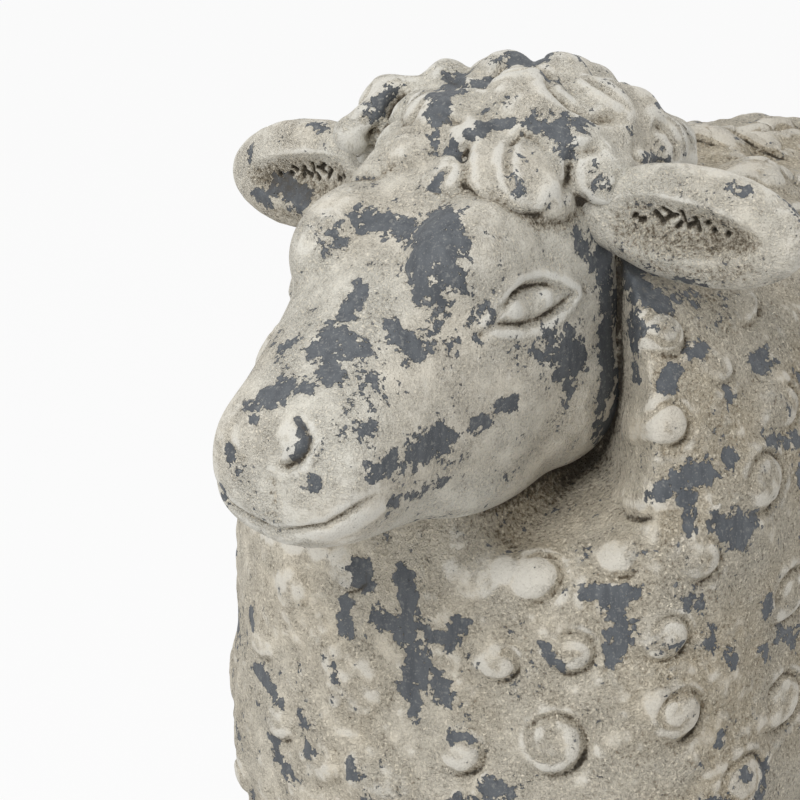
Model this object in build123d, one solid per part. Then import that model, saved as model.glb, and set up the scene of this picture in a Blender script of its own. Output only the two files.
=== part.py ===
from build123d import *
import math
import os

# A standing sheep in cast magnesia cement, made for a garden or a porch.
# It is a hollow figure: two fleece shells are laid up in moulds and closed on a
# seam band, a hollow head is let into a socket in the chest, and a cap of wool,
# two ears, a tail and four legs are cast apart and bonded on over steel.
# Millimetres, +Z up. The sheep looks along -Y and its left side is +X.
# The origin is on the ground, under the middle of the whole figure.

# Driving sizes of the whole animal
ear_height = 462.0          # the line through both ears, above the ground
nose_reach = 149.0          # nose tip ahead of the ear line
wall = 9.0                  # cast wall of the fleece shells
head_wall = 8.0             # cast wall of the head
bond_gap = 0.3              # mortar joint between two cast pieces
hole_gap = 0.4              # play all round a pin or rod in its hole

# Fleece trunk
trunk_length = 475.0
trunk_width = 250.0
trunk_depth = 337.0
chest_reach = 72.0          # front of the chest ahead of the ear line
back_drop = 6.0             # top of the back below the ear line

# Curls of the fleece
curl_rise = 5.0             # crest of a large curl above the fleece round it
curl_root = 4.0             # how far a curl is let into the wall
curl_spacing = 38.0         # from one curl to the next where the photograph shows none
curl_clearance = 12.0       # from the head, the ears, the tail and the legs
small_curl = 9.0            # radii of the smallest and the largest of these curls
large_curl = 14.0

# Where the photograph was taken from, because its curls are set by its pixels
camera_distance = 1200.0    # from the middle of the ear line
camera_azimuth = 34.0       # degrees round to the sheep's left
camera_elevation = 15.5
pixel_size = 0.4            # what a pixel covers at the ear line

# Head
head_back = 45.0            # rear of the skull behind the ear line
head_width = 115.0
head_rise = 36.0            # top of the skull above the ear line
head_drop = 118.0           # jaw below the ear line

# Cap of wool on the crown
cap_rim = 9.5               # how far the cap stands out past the side of the head
cap_length = 126.0
cap_depth = 90.0
cap_setback = 25.0          # middle of the cap behind the ear line
cap_lift = 12.0             # middle of the cap above the ear line

# Ears
ear_reach = 78.5            # tip of an ear, out from the side of the head
ear_root = 5.5              # how far an ear's root is let into the head
ear_thickness = 26.0
ear_depth = 47.0
ear_setback = 8.0
ear_sweep = 6.0             # degrees that the tip is swept back
ear_droop = 4.0             # degrees that the tip hangs
hollow_depth = 9.0          # depth of the hollow in the ear's face
ear_rim = 7.0               # rim left round the hollow

# Tail
tail_reach = 20.0           # how far it stands out behind the rump
tail_width = 46.0
tail_length = 96.0
tail_drop = 98.0            # middle of the tail below the ear line

# Legs and hooves
leg_inset = 64.0            # middle of a leg, in from the side of the trunk
front_leg_setback = 2.0     # behind the ear line
rear_leg_setback = 306.0
hoof_width = 44.0
hoof_length = 56.0
hoof_height = 30.0
shin_width = 32.0
shin_length = 36.0
thigh_width = 54.0
thigh_length = 66.0
leg_rise = 34.0             # how far a leg's block reaches above the belly
cleft_width = 4.0
cleft_depth = 13.0

# Steel inside
leg_rod = 10.0
neck_rod_size = 12.0
ear_pin_size = 5.0
tail_pin_size = 8.0
bar_width = 24.0
bar_thickness = 4.0
rod_cover = 14.0            # cement between a rod's end and the sole
rod_stub = 8.0              # rod standing above the bar that it is welded to
ear_pin_grip = 33.0         # how far an ear's pin reaches past the side of the head
tail_pin_length = 44.0
bar_overhang = 14.0         # spine bar past the middle of each cross bar

# Mortar inside
bed_width = 44.0            # along the body
bed_rise = 30.0             # above the inside of the belly
bed_inset = 34.0            # bed's end inside the trunk's side
band_width = 30.0
band_thickness = 4.0
plug_back = 18.0            # head plug's rear face ahead of the ear line
plug_length = 32.0
neck_grip = 36.0            # rod's top ahead of the ear line
neck_grip_drop = 48.0       # rod's top below the ear line
neck_root = 12.0            # rod's foot below the spine bar

drain_size = 14.0           # hole in the belly that lets rain out
drain_setback = 160.0
overrun = 5.0               # how far a cutter passes a face

# Derived sizes and places
cap_width = head_width + 2 * cap_rim
ear_length = ear_reach + ear_root
leg_spacing = trunk_width - 2 * leg_inset
trunk_rear = trunk_length - chest_reach
ear_y = nose_reach - (nose_reach + trunk_rear + tail_reach) / 2
trunk_top = ear_height - back_drop
trunk_bottom = trunk_top - trunk_depth
head_length = head_back + nose_reach
head_bottom = ear_height - head_drop
front_leg_y = ear_y + front_leg_setback
rear_leg_y = ear_y + rear_leg_setback
belly = trunk_bottom + curl_rise
bed_top = belly + wall + bed_rise
spine_bottom = bed_top + bar_thickness

# The trunk is a long box whose ends round over. These shares of its length are
# the lengths of the two rounded ends and the places of the sections.
front_round_share = 0.17
rear_round_share = 0.27
end_power_share = 2.3
trunk_round_share = 0.85
middle_share = 0.46         # height at which the ends are fullest
trunk_place_shares = [0.005, 0.018, 0.045, 0.085, 0.14, 0.21, 0.30, 0.40, 0.50,
                      0.60, 0.69, 0.77, 0.84, 0.90, 0.945, 0.975, 0.992, 0.998]

# Pixels of the photograph: its middle, the middle of the ear line, and the edges
# of what it shows of the fleece, which is below the jaw and beside the cheek
middle_pixels = (400, 400)
ear_line_pixels = (489, 199)
fleece_left_pixel = 225
fleece_end_pixel = 812
cheek_pixel = 632
shoulder_pixel = 285
jaw_pixel = 630
jaw_slope_share = 0.25

# The curls that the photograph shows: x, y and radius in its pixels
curl_pixels = [
    (664, 331, 26), (740, 303, 24), (719, 367, 19), (669, 421, 25), (782, 403, 27), (795, 325, 24),
    (641, 493, 25), (762, 478, 33), (536, 573, 29), (620, 557, 21), (701, 556, 26), (786, 592, 31),
    (571, 648, 27), (668, 634, 27), (500, 661, 22), (555, 739, 33), (663, 709, 40), (778, 698, 29),
    (742, 781, 33), (463, 751, 25), (484, 568, 30), (381, 785, 34), (360, 682, 34), (291, 589, 20),
    (262, 644, 16), (281, 723, 20), (350, 571, 22), (322, 765, 22),
]

# How the other curls are strewn: their rows lie this share of the spacing apart,
# each stands astray by a share of it, and the irrational shares scatter them
curl_rise_share = 0.4       # of the radius, on a small curl
row_share = 0.87
stray_share = 0.45
crowd_share = 0.8
scatter_shares = (0.6180, 0.7549, 0.5698)
side_on_share = 0.7
glancing_share = 0.15

# One row for each section of the head from the nose back: share of the length,
# of the width, the top and the bottom as shares of the depth, and the height
# where the section is widest as a share of the section
head_shares = [
    (0.000, 0.30, 0.325, 0.155, 0.50),
    (0.025, 0.48, 0.385, 0.095, 0.50),
    (0.072, 0.61, 0.445, 0.056, 0.50),
    (0.149, 0.67, 0.518, 0.042, 0.50),
    (0.253, 0.72, 0.622, 0.040, 0.48),
    (0.381, 0.83, 0.755, 0.030, 0.50),
    (0.510, 0.97, 0.885, 0.012, 0.54),
    (0.640, 1.02, 0.975, 0.000, 0.54),
    (0.760, 1.03, 1.000, 0.006, 0.52),
    (0.860, 0.98, 0.990, 0.050, 0.50),
    (0.940, 0.86, 0.950, 0.160, 0.50),
    (1.000, 0.66, 0.880, 0.400, 0.50),
]

# One row for each section of an ear from its root to its tip: share of the
# length, of the depth and of the thickness
ear_shares = [
    (0.00, 0.62, 0.80),
    (0.12, 0.82, 0.94),
    (0.28, 0.96, 1.00),
    (0.45, 1.00, 0.97),
    (0.62, 0.96, 0.88),
    (0.77, 0.82, 0.74),
    (0.88, 0.62, 0.56),
    (0.96, 0.36, 0.34),
    (1.00, 0.14, 0.14),
]

# A leg from the sole to its top: share of the height where the row applies,
# counted from the ground to the belly, then the widths as shares of a shape
hoof_flare_share = 0.86
pastern_share = 0.94
hock_rise_share = 0.62


def end_round(away, reach):
    """How full the trunk is at a distance from its end, from 0 to 1."""
    ahead = max(0.0, 1 - away / reach)
    return (1 - ahead ** end_power_share) ** (1 / end_power_share)


def upright(y, z):
    """A plane across the body, with local y upwards."""
    return Plane(origin=(0, y, z), x_dir=(1, 0, 0), z_dir=(0, -1, 0))


def fleece_form(grow=0.0):
    """The trunk between its curls, grown outwards by a length."""
    grow = grow - curl_rise
    sections = []
    middle = trunk_bottom + trunk_depth * middle_share
    for along in trunk_place_shares:
        full = min(end_round(along, front_round_share), end_round(1 - along, rear_round_share))
        half = trunk_width / 2 * full + grow
        high = middle + (trunk_top - middle) * full + grow
        low = middle - (middle - trunk_bottom) * full - grow
        y = ear_y - chest_reach - grow + along * (trunk_length + 2 * grow)
        radius = min(half, (high - low) / 2) * trunk_round_share
        sections.append(upright(y, (high + low) / 2) * RectangleRounded(2 * half, high - low, radius))
    return loft(sections)


def egg(half, above, below):
    """A closed outline of two half ellipses that meet where it is widest."""
    crown = EllipticalCenterArc((0, 0), half, above, start_angle=0, arc_size=180)
    keel = EllipticalCenterArc((0, 0), half, below, start_angle=180, arc_size=180)
    return make_face(Curve() + [crown, keel])


def head_form(grow=0.0):
    """Skull, cheeks and muzzle as one form, from the nose to the back of the head."""
    depth = head_rise + head_drop
    sections = []
    for along, across, top, bottom, widest in head_shares:
        high = head_bottom + depth * top + grow
        low = head_bottom + depth * bottom - grow
        level = low + (high - low) * widest
        y = ear_y - nose_reach - grow + along * (head_length + 2 * grow)
        outline = egg(head_width / 2 * across + grow, high - level, level - low)
        sections.append(upright(y, level) * outline)
    return loft(sections)


def ellipsoid(width, length, depth):
    """A ball stretched to three sizes."""
    return scale(Sphere(1), by=(width / 2, length / 2, depth / 2))


def cap_form(grow=0.0):
    """The mound of wool on the crown, grown outwards."""
    mound = ellipsoid(cap_width + 2 * grow, cap_length + 2 * grow, cap_depth + 2 * grow)
    return Pos(0, ear_y + cap_setback, ear_height + cap_lift) * mound


def tail_form():
    """A hanging tail, half sunk in the rump."""
    return Pos(0, ear_y + trunk_rear, ear_height - tail_drop) * ellipsoid(
        tail_width, 2 * tail_reach, tail_length)


def rod_between(start, end, size):
    """A round bar from one point to another."""
    line = Vector(*end) - Vector(*start)
    place = Plane(origin=start, z_dir=line)
    return place * Cylinder(size / 2, line.length, align=(Align.CENTER, Align.CENTER, Align.MIN))


def leg_rod_form(side, y, extra=0.0):
    """The steel in a leg, from above the sole to above its cross bar."""
    x = side * leg_spacing / 2
    top = spine_bottom + rod_stub
    return rod_between((x, y, rod_cover - extra), (x, y, top + extra), leg_rod + 2 * extra)


def neck_rod_form(extra=0.0):
    """The steel from the middle of the head down to the front cross bar."""
    top = (0, ear_y - neck_grip, ear_height - neck_grip_drop)
    foot = (0, front_leg_y, spine_bottom - neck_root)
    return rod_between(top, foot, neck_rod_size + 2 * extra)


def ear_pin_form(side, extra=0.0):
    """A pin from the ear's root through the cap's rim into the head."""
    inner = side * (head_width / 2 - head_wall - ear_pin_size)
    outer = side * (head_width / 2 + ear_pin_grip)
    y = ear_y + ear_setback
    return rod_between((inner, y, ear_height), (outer, y, ear_height), ear_pin_size + 2 * extra)


def tail_pin_form(extra=0.0):
    """A pin from inside the rump into the tail."""
    outer = ear_y + trunk_rear + tail_reach / 2
    z = ear_height - tail_drop
    return rod_between((0, outer - tail_pin_length, z), (0, outer, z), tail_pin_size + 2 * extra)


def all_steel(extra):
    """Every rod and pin that passes through cast pieces, with play round it."""
    rods = [leg_rod_form(side, y, extra) for side in (1, -1) for y in (front_leg_y, rear_leg_y)]
    rods += [ear_pin_form(side, extra) for side in (1, -1)]
    return rods + [neck_rod_form(extra), tail_pin_form(extra)]


def block(width, length, height, x, y, z):
    """A box whose middle lies at x and y, and whose underside is at z."""
    return Pos(x, y, z) * Box(width, length, height, align=(Align.CENTER, Align.CENTER, Align.MIN))


def cut(piece, *tools):
    """The piece less each tool, and of what is left the largest solid."""
    for tool in tools:
        piece = piece - tool
    return max(piece.solids(), key=lambda solid: solid.volume)


ear_middle = head_width / 2 + ear_reach - ear_length / 2
ear_place = Pos(ear_middle, ear_y + ear_setback, ear_height) * Rot(0, ear_droop, ear_sweep)
plain_fleece = fleece_form()
inner_fleece = fleece_form(-wall)
lined_fleece = fleece_form(-wall - bond_gap)
fleece_socket = fleece_form(bond_gap)
head_socket = head_form(bond_gap)
cap_socket = cap_form(bond_gap)
steel_holes = all_steel(hole_gap)


def camera_axes():
    """Unit vectors across, towards the camera and up in the photograph."""
    turn, lift = math.radians(camera_azimuth), math.radians(camera_elevation)
    across = Vector(math.cos(turn), math.sin(turn), 0)
    toward = Vector(math.sin(turn) * math.cos(lift), -math.cos(turn) * math.cos(lift), math.sin(lift))
    return across, toward, toward.cross(across)


def photo_ray(x, y):
    """The line of sight from the camera through a pixel of the photograph."""
    across, toward, upward = camera_axes()
    ear_x, ear_row = ear_line_pixels
    middle_x, middle_row = middle_pixels
    sight_middle = (Vector(0, ear_y, ear_height) - across * (ear_x - middle_x) * pixel_size
                    - upward * (middle_row - ear_row) * pixel_size)
    target = sight_middle + across * (x - middle_x) * pixel_size + upward * (middle_row - y) * pixel_size
    eye = sight_middle + toward * camera_distance
    return Axis(eye, target - eye)


def pictured(place, facing):
    """Whether the photograph shows the fleece at a place."""
    across, toward, upward = camera_axes()
    eye = photo_ray(*middle_pixels).position
    away = place - eye
    scale_there = camera_distance / -away.dot(toward) / pixel_size
    x = middle_pixels[0] + away.dot(across) * scale_there
    y = middle_pixels[1] - away.dot(upward) * scale_there
    beside_cheek = x > cheek_pixel and y > shoulder_pixel
    below_jaw = x > fleece_left_pixel and y > jaw_pixel - jaw_slope_share * x
    inside = max(x, y) < fleece_end_pixel
    return inside and (beside_cheek or below_jaw) and -facing.dot(away.normalized()) > glancing_share


def side_rays():
    """Rays at the trunk from the front, the rear, both sides and above, in staggered rows."""
    middle = Vector(0, ear_y - chest_reach + trunk_length / 2, (trunk_top + trunk_bottom) / 2)
    ahead, left, up = Vector(0, -1, 0), Vector(1, 0, 0), Vector(0, 0, 1)
    sides = [(ahead, left, up, trunk_width, trunk_depth), (-ahead, left, up, trunk_width, trunk_depth),
             (left, ahead, up, trunk_length, trunk_depth), (-left, ahead, up, trunk_length, trunk_depth),
             (up, left, ahead, trunk_width, trunk_length)]
    rays = []
    stray = curl_spacing * stray_share
    for facing, along, rise, width, height in sides:
        rows = round(height / (curl_spacing * row_share))
        columns = round(width / curl_spacing)
        for k in range(rows * columns):
            row, column = divmod(k, columns)
            astray = [(len(rays) * share % 1 - 1 / 2) * stray for share in scatter_shares]
            u = ((column + 1 / 4 + row % 2 / 2) / columns - 1 / 2) * width + astray[0]
            v = ((row + 1 / 2) / rows - 1 / 2) * height + astray[1]
            rays.append(Axis(middle + facing * trunk_length + along * u + rise * v, -facing))
    return rays


def near_to(box, place):
    """Whether a place is inside a box or within the clearance of it."""
    low, high = tuple(box.min), tuple(box.max)
    return all(a - curl_clearance < p < b + curl_clearance for a, p, b in zip(low, place, high))


def curl_places(neighbours):
    """Place, direction and radius of every curl: those of the photograph, then the strewn ones."""
    curls = []
    for x, y, size in curl_pixels:
        hits = plain_fleece.find_intersection_points(photo_ray(x, y))
        if hits:
            curls.append((*hits[0], size * pixel_size))
    for k, ray in enumerate(side_rays()):
        hits = plain_fleece.find_intersection_points(ray)
        if not hits:
            continue
        place, facing = hits[0]
        crowded = any((place - other).length < curl_spacing * crowd_share for other, _, _ in curls)
        side_on = -facing.dot(ray.direction) > side_on_share
        taken = any(near_to(box, tuple(place)) for box in neighbours)
        if side_on and not crowded and not taken and not pictured(place, facing):
            radius = small_curl + (large_curl - small_curl) * (k * scatter_shares[2] % 1)
            curls.append((place, facing, radius))
    return curls


def knob(place, facing, radius):
    """The round top of a curl, let into the wall by its root."""
    rise = min(curl_rise, radius * curl_rise_share)
    ball = (radius ** 2 + rise ** 2) / (2 * rise)
    lowest = math.degrees(math.asin((ball - rise - curl_root) / ball))
    top = Sphere(ball, arc_size1=lowest, arc_size2=90, align=(Align.CENTER, Align.CENTER, Align.MIN))
    return Plane(origin=place - facing * curl_root, z_dir=facing) * top


def fleece_shells(neighbours):
    """The left and right shells of the curled fleece, with their sockets and holes."""
    curls = curl_places(neighbours)
    print(len(curls), "curls")
    outer_fleece = plain_fleece.fuse(*[knob(*curl) for curl in curls])
    drain = rod_between((0, ear_y + drain_setback, trunk_bottom - overrun),
                        (0, ear_y + drain_setback, bed_top), drain_size)
    shell = cut(outer_fleece, inner_fleece, head_socket, cap_socket, drain, *steel_holes)
    reach = trunk_width + trunk_depth + trunk_length
    shells = {}
    for name, side in (("left", 1), ("right", -1)):
        other_half = block(reach, 2 * reach, 2 * reach, -side * reach / 2, 0, -reach / 2)
        shells["fleece_shell_" + name] = cut(shell, other_half)
    return shells


def bed(y):
    """Mortar that beds a cross bar and two legs' rods on the inside of the belly."""
    width = trunk_width - 2 * bed_inset
    blank = block(width, bed_width, bed_top - belly, 0, y, belly)
    return cut(blank & lined_fleece, *steel_holes)


def seam_band():
    """Fibre and mortar strip that joins the two shells on the inside."""
    reach = trunk_width + trunk_depth + trunk_length
    band = lined_fleece - fleece_form(-wall - bond_gap - band_thickness)
    band = band & block(band_width, reach, reach, 0, 0, 0)
    length = bed_width + 2 * bond_gap
    beds = [block(trunk_width, length, bed_top, 0, y, 0) for y in (front_leg_y, rear_leg_y)]
    drain = rod_between((0, ear_y + drain_setback, 0), (0, ear_y + drain_setback, bed_top), drain_size)
    whole = band - head_socket - cap_socket - drain
    for tool in beds + steel_holes:
        whole = whole - tool
    return Compound(children=[solid for solid in whole.solids() if solid.volume > band_thickness ** 3])


def head_shell():
    """The hollow head, with holes for the neck rod and the ears' pins."""
    return cut(head_form(), head_form(-head_wall), *steel_holes)


def head_plug():
    """Mortar packed in the head round the top of the neck rod."""
    slab = block(head_width, plug_length, head_rise + head_drop,
                 0, ear_y - plug_back - plug_length / 2, head_bottom)
    return cut(head_form(-head_wall - bond_gap) & slab, neck_rod_form(hole_gap))


def wool_cap():
    """The curly cap, hollowed below to sit on the skull."""
    return cut(cap_form(), head_socket, *steel_holes)


def leaf(length, thickness, depth):
    """An ear's closed form along +X, with its middle at the origin."""
    sections = []
    for along, high, thick in ear_shares:
        place = Plane(origin=(length * (along - 1 / 2), 0, 0), x_dir=(0, 1, 0), z_dir=(1, 0, 0))
        sections.append(place * egg(thickness / 2 * thick, depth / 2 * high, depth / 2 * high))
    return loft(sections)


def left_ear():
    """A leaf-shaped ear with a hollow face and a thick root."""
    outside = leaf(ear_length, ear_thickness, ear_depth)
    inside = leaf(ear_length - 2 * ear_rim, 2 * hollow_depth, ear_depth - 2 * ear_rim)
    blank = outside - Pos(0, -ear_thickness / 2, 0) * inside
    return cut(ear_place * blank, head_socket, cap_socket, fleece_socket, ear_pin_form(1, hole_gap))


def leg(side, y):
    """A short leg on a cloven hoof, cut at its top to fit under the fleece."""
    hock = hoof_height + (belly - hoof_height) * hock_rise_share
    rows = [
        (0.0, hoof_width, hoof_length),
        (hoof_height, hoof_width * hoof_flare_share, hoof_length * hoof_flare_share),
        (hoof_height + cleft_width, shin_width * pastern_share, shin_length * pastern_share),
        (hock, shin_width, shin_length),
        (belly + leg_rise, thigh_width, thigh_length),
    ]
    faces = [Pos(0, 0, z) * RectangleRounded(w, l, w / 2 * trunk_round_share) for z, w, l in rows]
    hoof = loft(faces[0:2], ruled=True)
    shin = loft(faces[1:3], ruled=True)
    limb = loft(faces[2:5])
    body = Pos(side * leg_spacing / 2, y, 0) * (hoof + shin + limb)
    cleft = block(cleft_width, 2 * cleft_depth, hoof_height - cleft_width,
                  side * leg_spacing / 2, y - hoof_length / 2, 0)
    return cut(body, fleece_socket, cleft, leg_rod_form(side, y, hole_gap))


def cross_bar(y):
    """A flat bar across the belly that ties two legs' rods together."""
    bar = block(leg_spacing + bar_width, bar_width, bar_thickness, 0, y, bed_top)
    return cut(bar & lined_fleece, *steel_holes)


def spine_bar():
    """A flat bar along the belly from the front cross bar to the rear one."""
    length = rear_leg_y - front_leg_y + 2 * bar_overhang
    middle = (front_leg_y + rear_leg_y) / 2
    bar = block(bar_width, length, bar_thickness, 0, middle, spine_bottom)
    return cut(bar, neck_rod_form(hole_gap))


def tail():
    """The tail, hollowed in front to sit on the rump."""
    return cut(tail_form(), fleece_socket, tail_pin_form(hole_gap))


def write_parts():
    """Build each piece and write it to its own file."""
    pieces = {"seam_band": seam_band()}
    pieces["head_shell"] = head_shell()
    pieces["head_plug"] = head_plug()
    pieces["wool_cap"] = wool_cap()
    pieces["tail"] = tail()
    pieces["tail_pin"] = tail_pin_form()
    pieces["neck_rod"] = neck_rod_form()
    pieces["spine_bar"] = spine_bar()
    pieces["left_ear"] = left_ear()
    pieces["right_ear"] = mirror(pieces["left_ear"], about=Plane.YZ)
    for name, side in (("left", 1), ("right", -1)):
        pieces[name + "_ear_pin"] = ear_pin_form(side)
    for end, y in (("front", front_leg_y), ("rear", rear_leg_y)):
        pieces[end + "_cross_bar"] = cross_bar(y)
        pieces[end + "_mortar_bed"] = bed(y)
        for name, side in (("left", 1), ("right", -1)):
            pieces[end + "_" + name + "_leg"] = leg(side, y)
            pieces[end + "_" + name + "_leg_rod"] = leg_rod_form(side, y)
    neighbours = [name for name in pieces if name.endswith(("head_shell", "cap", "tail", "_ear", "_leg"))]
    pieces.update(fleece_shells([pieces[name].bounding_box() for name in neighbours]))
    os.makedirs("parts", exist_ok=True)
    for name, piece in pieces.items():
        export_step(piece, os.path.join("parts", name + ".step"))
        print(name, round(piece.volume / 1000, 1), "cm3")


write_parts()
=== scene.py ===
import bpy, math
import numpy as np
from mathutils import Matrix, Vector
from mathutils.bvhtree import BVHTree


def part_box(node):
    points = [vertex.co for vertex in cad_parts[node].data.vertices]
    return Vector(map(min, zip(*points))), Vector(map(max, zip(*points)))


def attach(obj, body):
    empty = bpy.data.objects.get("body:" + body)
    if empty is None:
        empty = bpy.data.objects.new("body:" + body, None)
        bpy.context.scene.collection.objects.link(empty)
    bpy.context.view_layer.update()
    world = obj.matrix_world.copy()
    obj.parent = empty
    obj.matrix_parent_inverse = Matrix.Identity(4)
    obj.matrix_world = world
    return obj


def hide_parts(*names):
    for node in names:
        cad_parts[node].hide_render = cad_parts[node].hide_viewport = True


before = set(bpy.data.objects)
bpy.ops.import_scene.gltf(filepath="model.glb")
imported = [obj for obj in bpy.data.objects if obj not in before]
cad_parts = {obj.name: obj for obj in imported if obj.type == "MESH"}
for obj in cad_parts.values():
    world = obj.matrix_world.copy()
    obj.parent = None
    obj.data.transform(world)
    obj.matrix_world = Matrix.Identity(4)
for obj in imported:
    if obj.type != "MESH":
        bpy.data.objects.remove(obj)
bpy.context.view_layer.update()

# %% [markdown]
# A garden sheep, cast in magnesia cement. The real figure comes out of moulds: a hollow trunk in two
# shells, a head, a cap of curls, two ears, a tail and four legs. A thin coat of lime and sand is brushed
# over the dark cement and rubbed off again in ragged patches, which makes it look old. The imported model
# gives the sizes, and this script models what the eye sees on top of it.

MM = 0.001

# %% [markdown]
# Places are measured from one line, the one through both ears. It could be typed in, but the pins that hold
# the ears lie on it, so it is read from them, and it stays right when the model changes.

# %% The line through the ears
EAR_SETBACK = 8 * MM
pin_low, pin_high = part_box("left_ear_pin")
EARS = Vector((0, (pin_low.y + pin_high.y) / 2 - EAR_SETBACK, (pin_low.z + pin_high.z) / 2))


def spot(forward, aside, up):
    """A place ahead of, beside and above the middle of the ears' line, in mm."""
    return EARS + Vector((aside, -forward, up)) * MM


print("ears' line at y, z:", round(EARS.y, 4), round(EARS.z, 4))

# %% [markdown]
# The camera comes first, because carving is placed by looking through it. The picture was taken from the
# sheep's front left and a little above. A long lens far away keeps the head from swelling.

# %% The camera
AZIMUTH, ELEVATION = math.radians(34.0), math.radians(15.5)
DISTANCE = 1.2
PIXEL = 0.4 * MM                # size of a pixel at the ears' line
PICTURE = 800
EARS_PIXEL = (489, 199)
SENSOR = 36.0

across = Vector((math.cos(AZIMUTH), math.sin(AZIMUTH), 0))
toward = Vector((math.sin(AZIMUTH) * math.cos(ELEVATION), -math.cos(AZIMUTH) * math.cos(ELEVATION),
                 math.sin(ELEVATION)))
upward = toward.cross(across)
eye_point = (EARS + toward * DISTANCE - across * (EARS_PIXEL[0] - PICTURE / 2) * PIXEL
             - upward * (PICTURE / 2 - EARS_PIXEL[1]) * PIXEL)
bpy.ops.object.camera_add(location=eye_point, rotation=(-toward).to_track_quat("-Z", "Y").to_euler())
camera = bpy.context.object
camera.data.sensor_width = SENSOR
camera.data.lens = DISTANCE * SENSOR / (PICTURE * PIXEL)
bpy.context.scene.camera = camera
EYE, TOWARD, EARS_AT = np.array(eye_point), np.array(toward), np.array(EARS)


def pixel_ray(x, y):
    """The direction from the camera through a pixel of the 800 by 800 picture."""
    aim = -toward * DISTANCE + across * (x - PICTURE / 2) * PIXEL + upward * (PICTURE / 2 - y) * PIXEL
    return aim.normalized()


def pixels_of(points):
    """Where points fall in the picture, as an array of x and y."""
    away = points - EYE
    depth = -(away @ TOWARD)
    scale = DISTANCE / depth / PIXEL
    x = PICTURE / 2 + (away @ np.array(across)) * scale
    y = PICTURE / 2 - (away @ np.array(upward)) * scale
    return np.stack([x, y], axis=1)


print("lens, mm:", camera.data.lens)

# %% [markdown]
# The maker's own model was clay, and clay is what this is built like. Rings are extruded into a rough limb
# or skull, balls are pressed on as muscles, and all of it is melted into one skin by a voxel remesh.
# Polygons laid by hand would be lighter, but an animal has few straight lines, and a remeshed skin takes
# carving anywhere.

# %% Rings extruded into a form
# How the outline is turned, and the axes on which its two half sizes then lie
FACINGS = {"front": ((math.pi / 2, 0, 0), (0, 2)), "side": ((0, math.pi / 2, 0), (2, 1)),
           "up": ((0, 0, 0), (0, 1))}


def pick(*pieces):
    """Selects these pieces and nothing else, and makes the first one active."""
    if bpy.context.object and bpy.context.object.mode != "OBJECT":
        bpy.ops.object.mode_set(mode="OBJECT")
    bpy.ops.object.select_all(action="DESELECT")
    for piece in pieces:
        piece.select_set(True)
        bpy.context.view_layer.objects.active = pieces[0]


def settle(name):
    """Gives the new object its name and puts its place into its mesh."""
    piece = bpy.context.object
    piece.name = piece.data.name = name
    bpy.ops.object.transform_apply(location=True, rotation=True, scale=True)
    return piece


def ring_form(name, rings, facing, squareness=2.0, sides=40):
    """Extrudes one outline through rings, each a centre and two half sizes."""
    pick()
    turn, axes = FACINGS[facing]
    centre, *sizes = rings[0]
    bpy.ops.mesh.primitive_circle_add(vertices=sides, radius=1, fill_type="NGON", location=centre,
                                      rotation=turn)
    blank = bpy.context.object
    for corner in blank.data.vertices:
        for k in (0, 1):
            corner.co[k] = math.copysign(abs(corner.co[k]) ** (2 / squareness), corner.co[k])
    blank.scale = (*sizes, 1)
    bpy.ops.object.mode_set(mode="EDIT")
    bpy.ops.mesh.select_all(action="SELECT")
    for place, *next_sizes in rings[1:]:
        bpy.ops.mesh.extrude_region_move(TRANSFORM_OT_translate={"value": place - centre})
        grow = [1, 1, 1]
        for axis, old, new in zip(axes, sizes, next_sizes):
            grow[axis] = new / old
        bpy.ops.transform.resize(value=grow, center_override=place)
        centre, sizes = place, next_sizes
    bpy.ops.mesh.select_all(action="SELECT")
    bpy.ops.mesh.normals_make_consistent(inside=False)
    bpy.ops.object.mode_set(mode="OBJECT")
    return settle(name)


# %% Balls of clay, and one skin over all of them
def ball(name, place, radii, turn=(0, 0, 0)):
    """A stretched ball, with its radii in mm and its turn in degrees."""
    pick()
    bpy.ops.mesh.primitive_uv_sphere_add(segments=32, ring_count=20, radius=MM, location=place,
                                         rotation=[math.radians(t) for t in turn])
    bpy.context.object.scale = radii
    return settle(name)


def use(piece, kind, **settings):
    """Adds a modifier and applies it at once."""
    pick(piece)
    modifier = piece.modifiers.new(kind.lower(), kind)
    for key, value in settings.items():
        setattr(modifier, key, value)
    bpy.ops.object.modifier_apply(modifier=modifier.name)


def skin(name, lumps, voxel, rounds):
    """Melts lumps into one closed mesh, smooths it, and makes it twice as fine."""
    pick(*lumps)
    bpy.ops.object.join()
    piece = bpy.context.object
    piece.name = piece.data.name = name
    use(piece, "REMESH", mode="VOXEL", voxel_size=voxel * MM)
    use(piece, "SMOOTH", factor=0.5, iterations=rounds)
    use(piece, "SUBSURF", levels=1, render_levels=1)
    bpy.ops.object.shade_smooth()
    print(name, "skin:", len(piece.data.polygons), "faces")
    return piece


# %% [markdown]
# Carving moves the skin's points along their normals. In the program's window that is sculpt mode. A script
# has no hand to move a brush, so each stroke is arithmetic on all the points at once: a groove follows a
# line, a swelling sits round a point, and both fade out with distance.

# %% Reading and writing the skin's points
def read(rows, key, width, kind=float):
    """Reads one property of all rows of a mesh into an array."""
    found = np.empty(len(rows) * width, kind)
    rows.foreach_get(key, found)
    return found.reshape(-1, width)


def points_and_normals(piece):
    return read(piece.data.vertices, "co", 3), read(piece.data.vertex_normals, "vector", 3)


def move_points(piece, points):
    piece.data.vertices.foreach_set("co", points.ravel())
    piece.data.update()


def put_attribute(piece, name, values):
    layer = piece.data.attributes.new(name, "FLOAT", "POINT")
    layer.data.foreach_set("value", values.astype(np.float32))


# %% Finding the skin under a pixel
def tree_of(piece):
    return BVHTree.FromObject(piece, bpy.context.evaluated_depsgraph_get())


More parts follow.
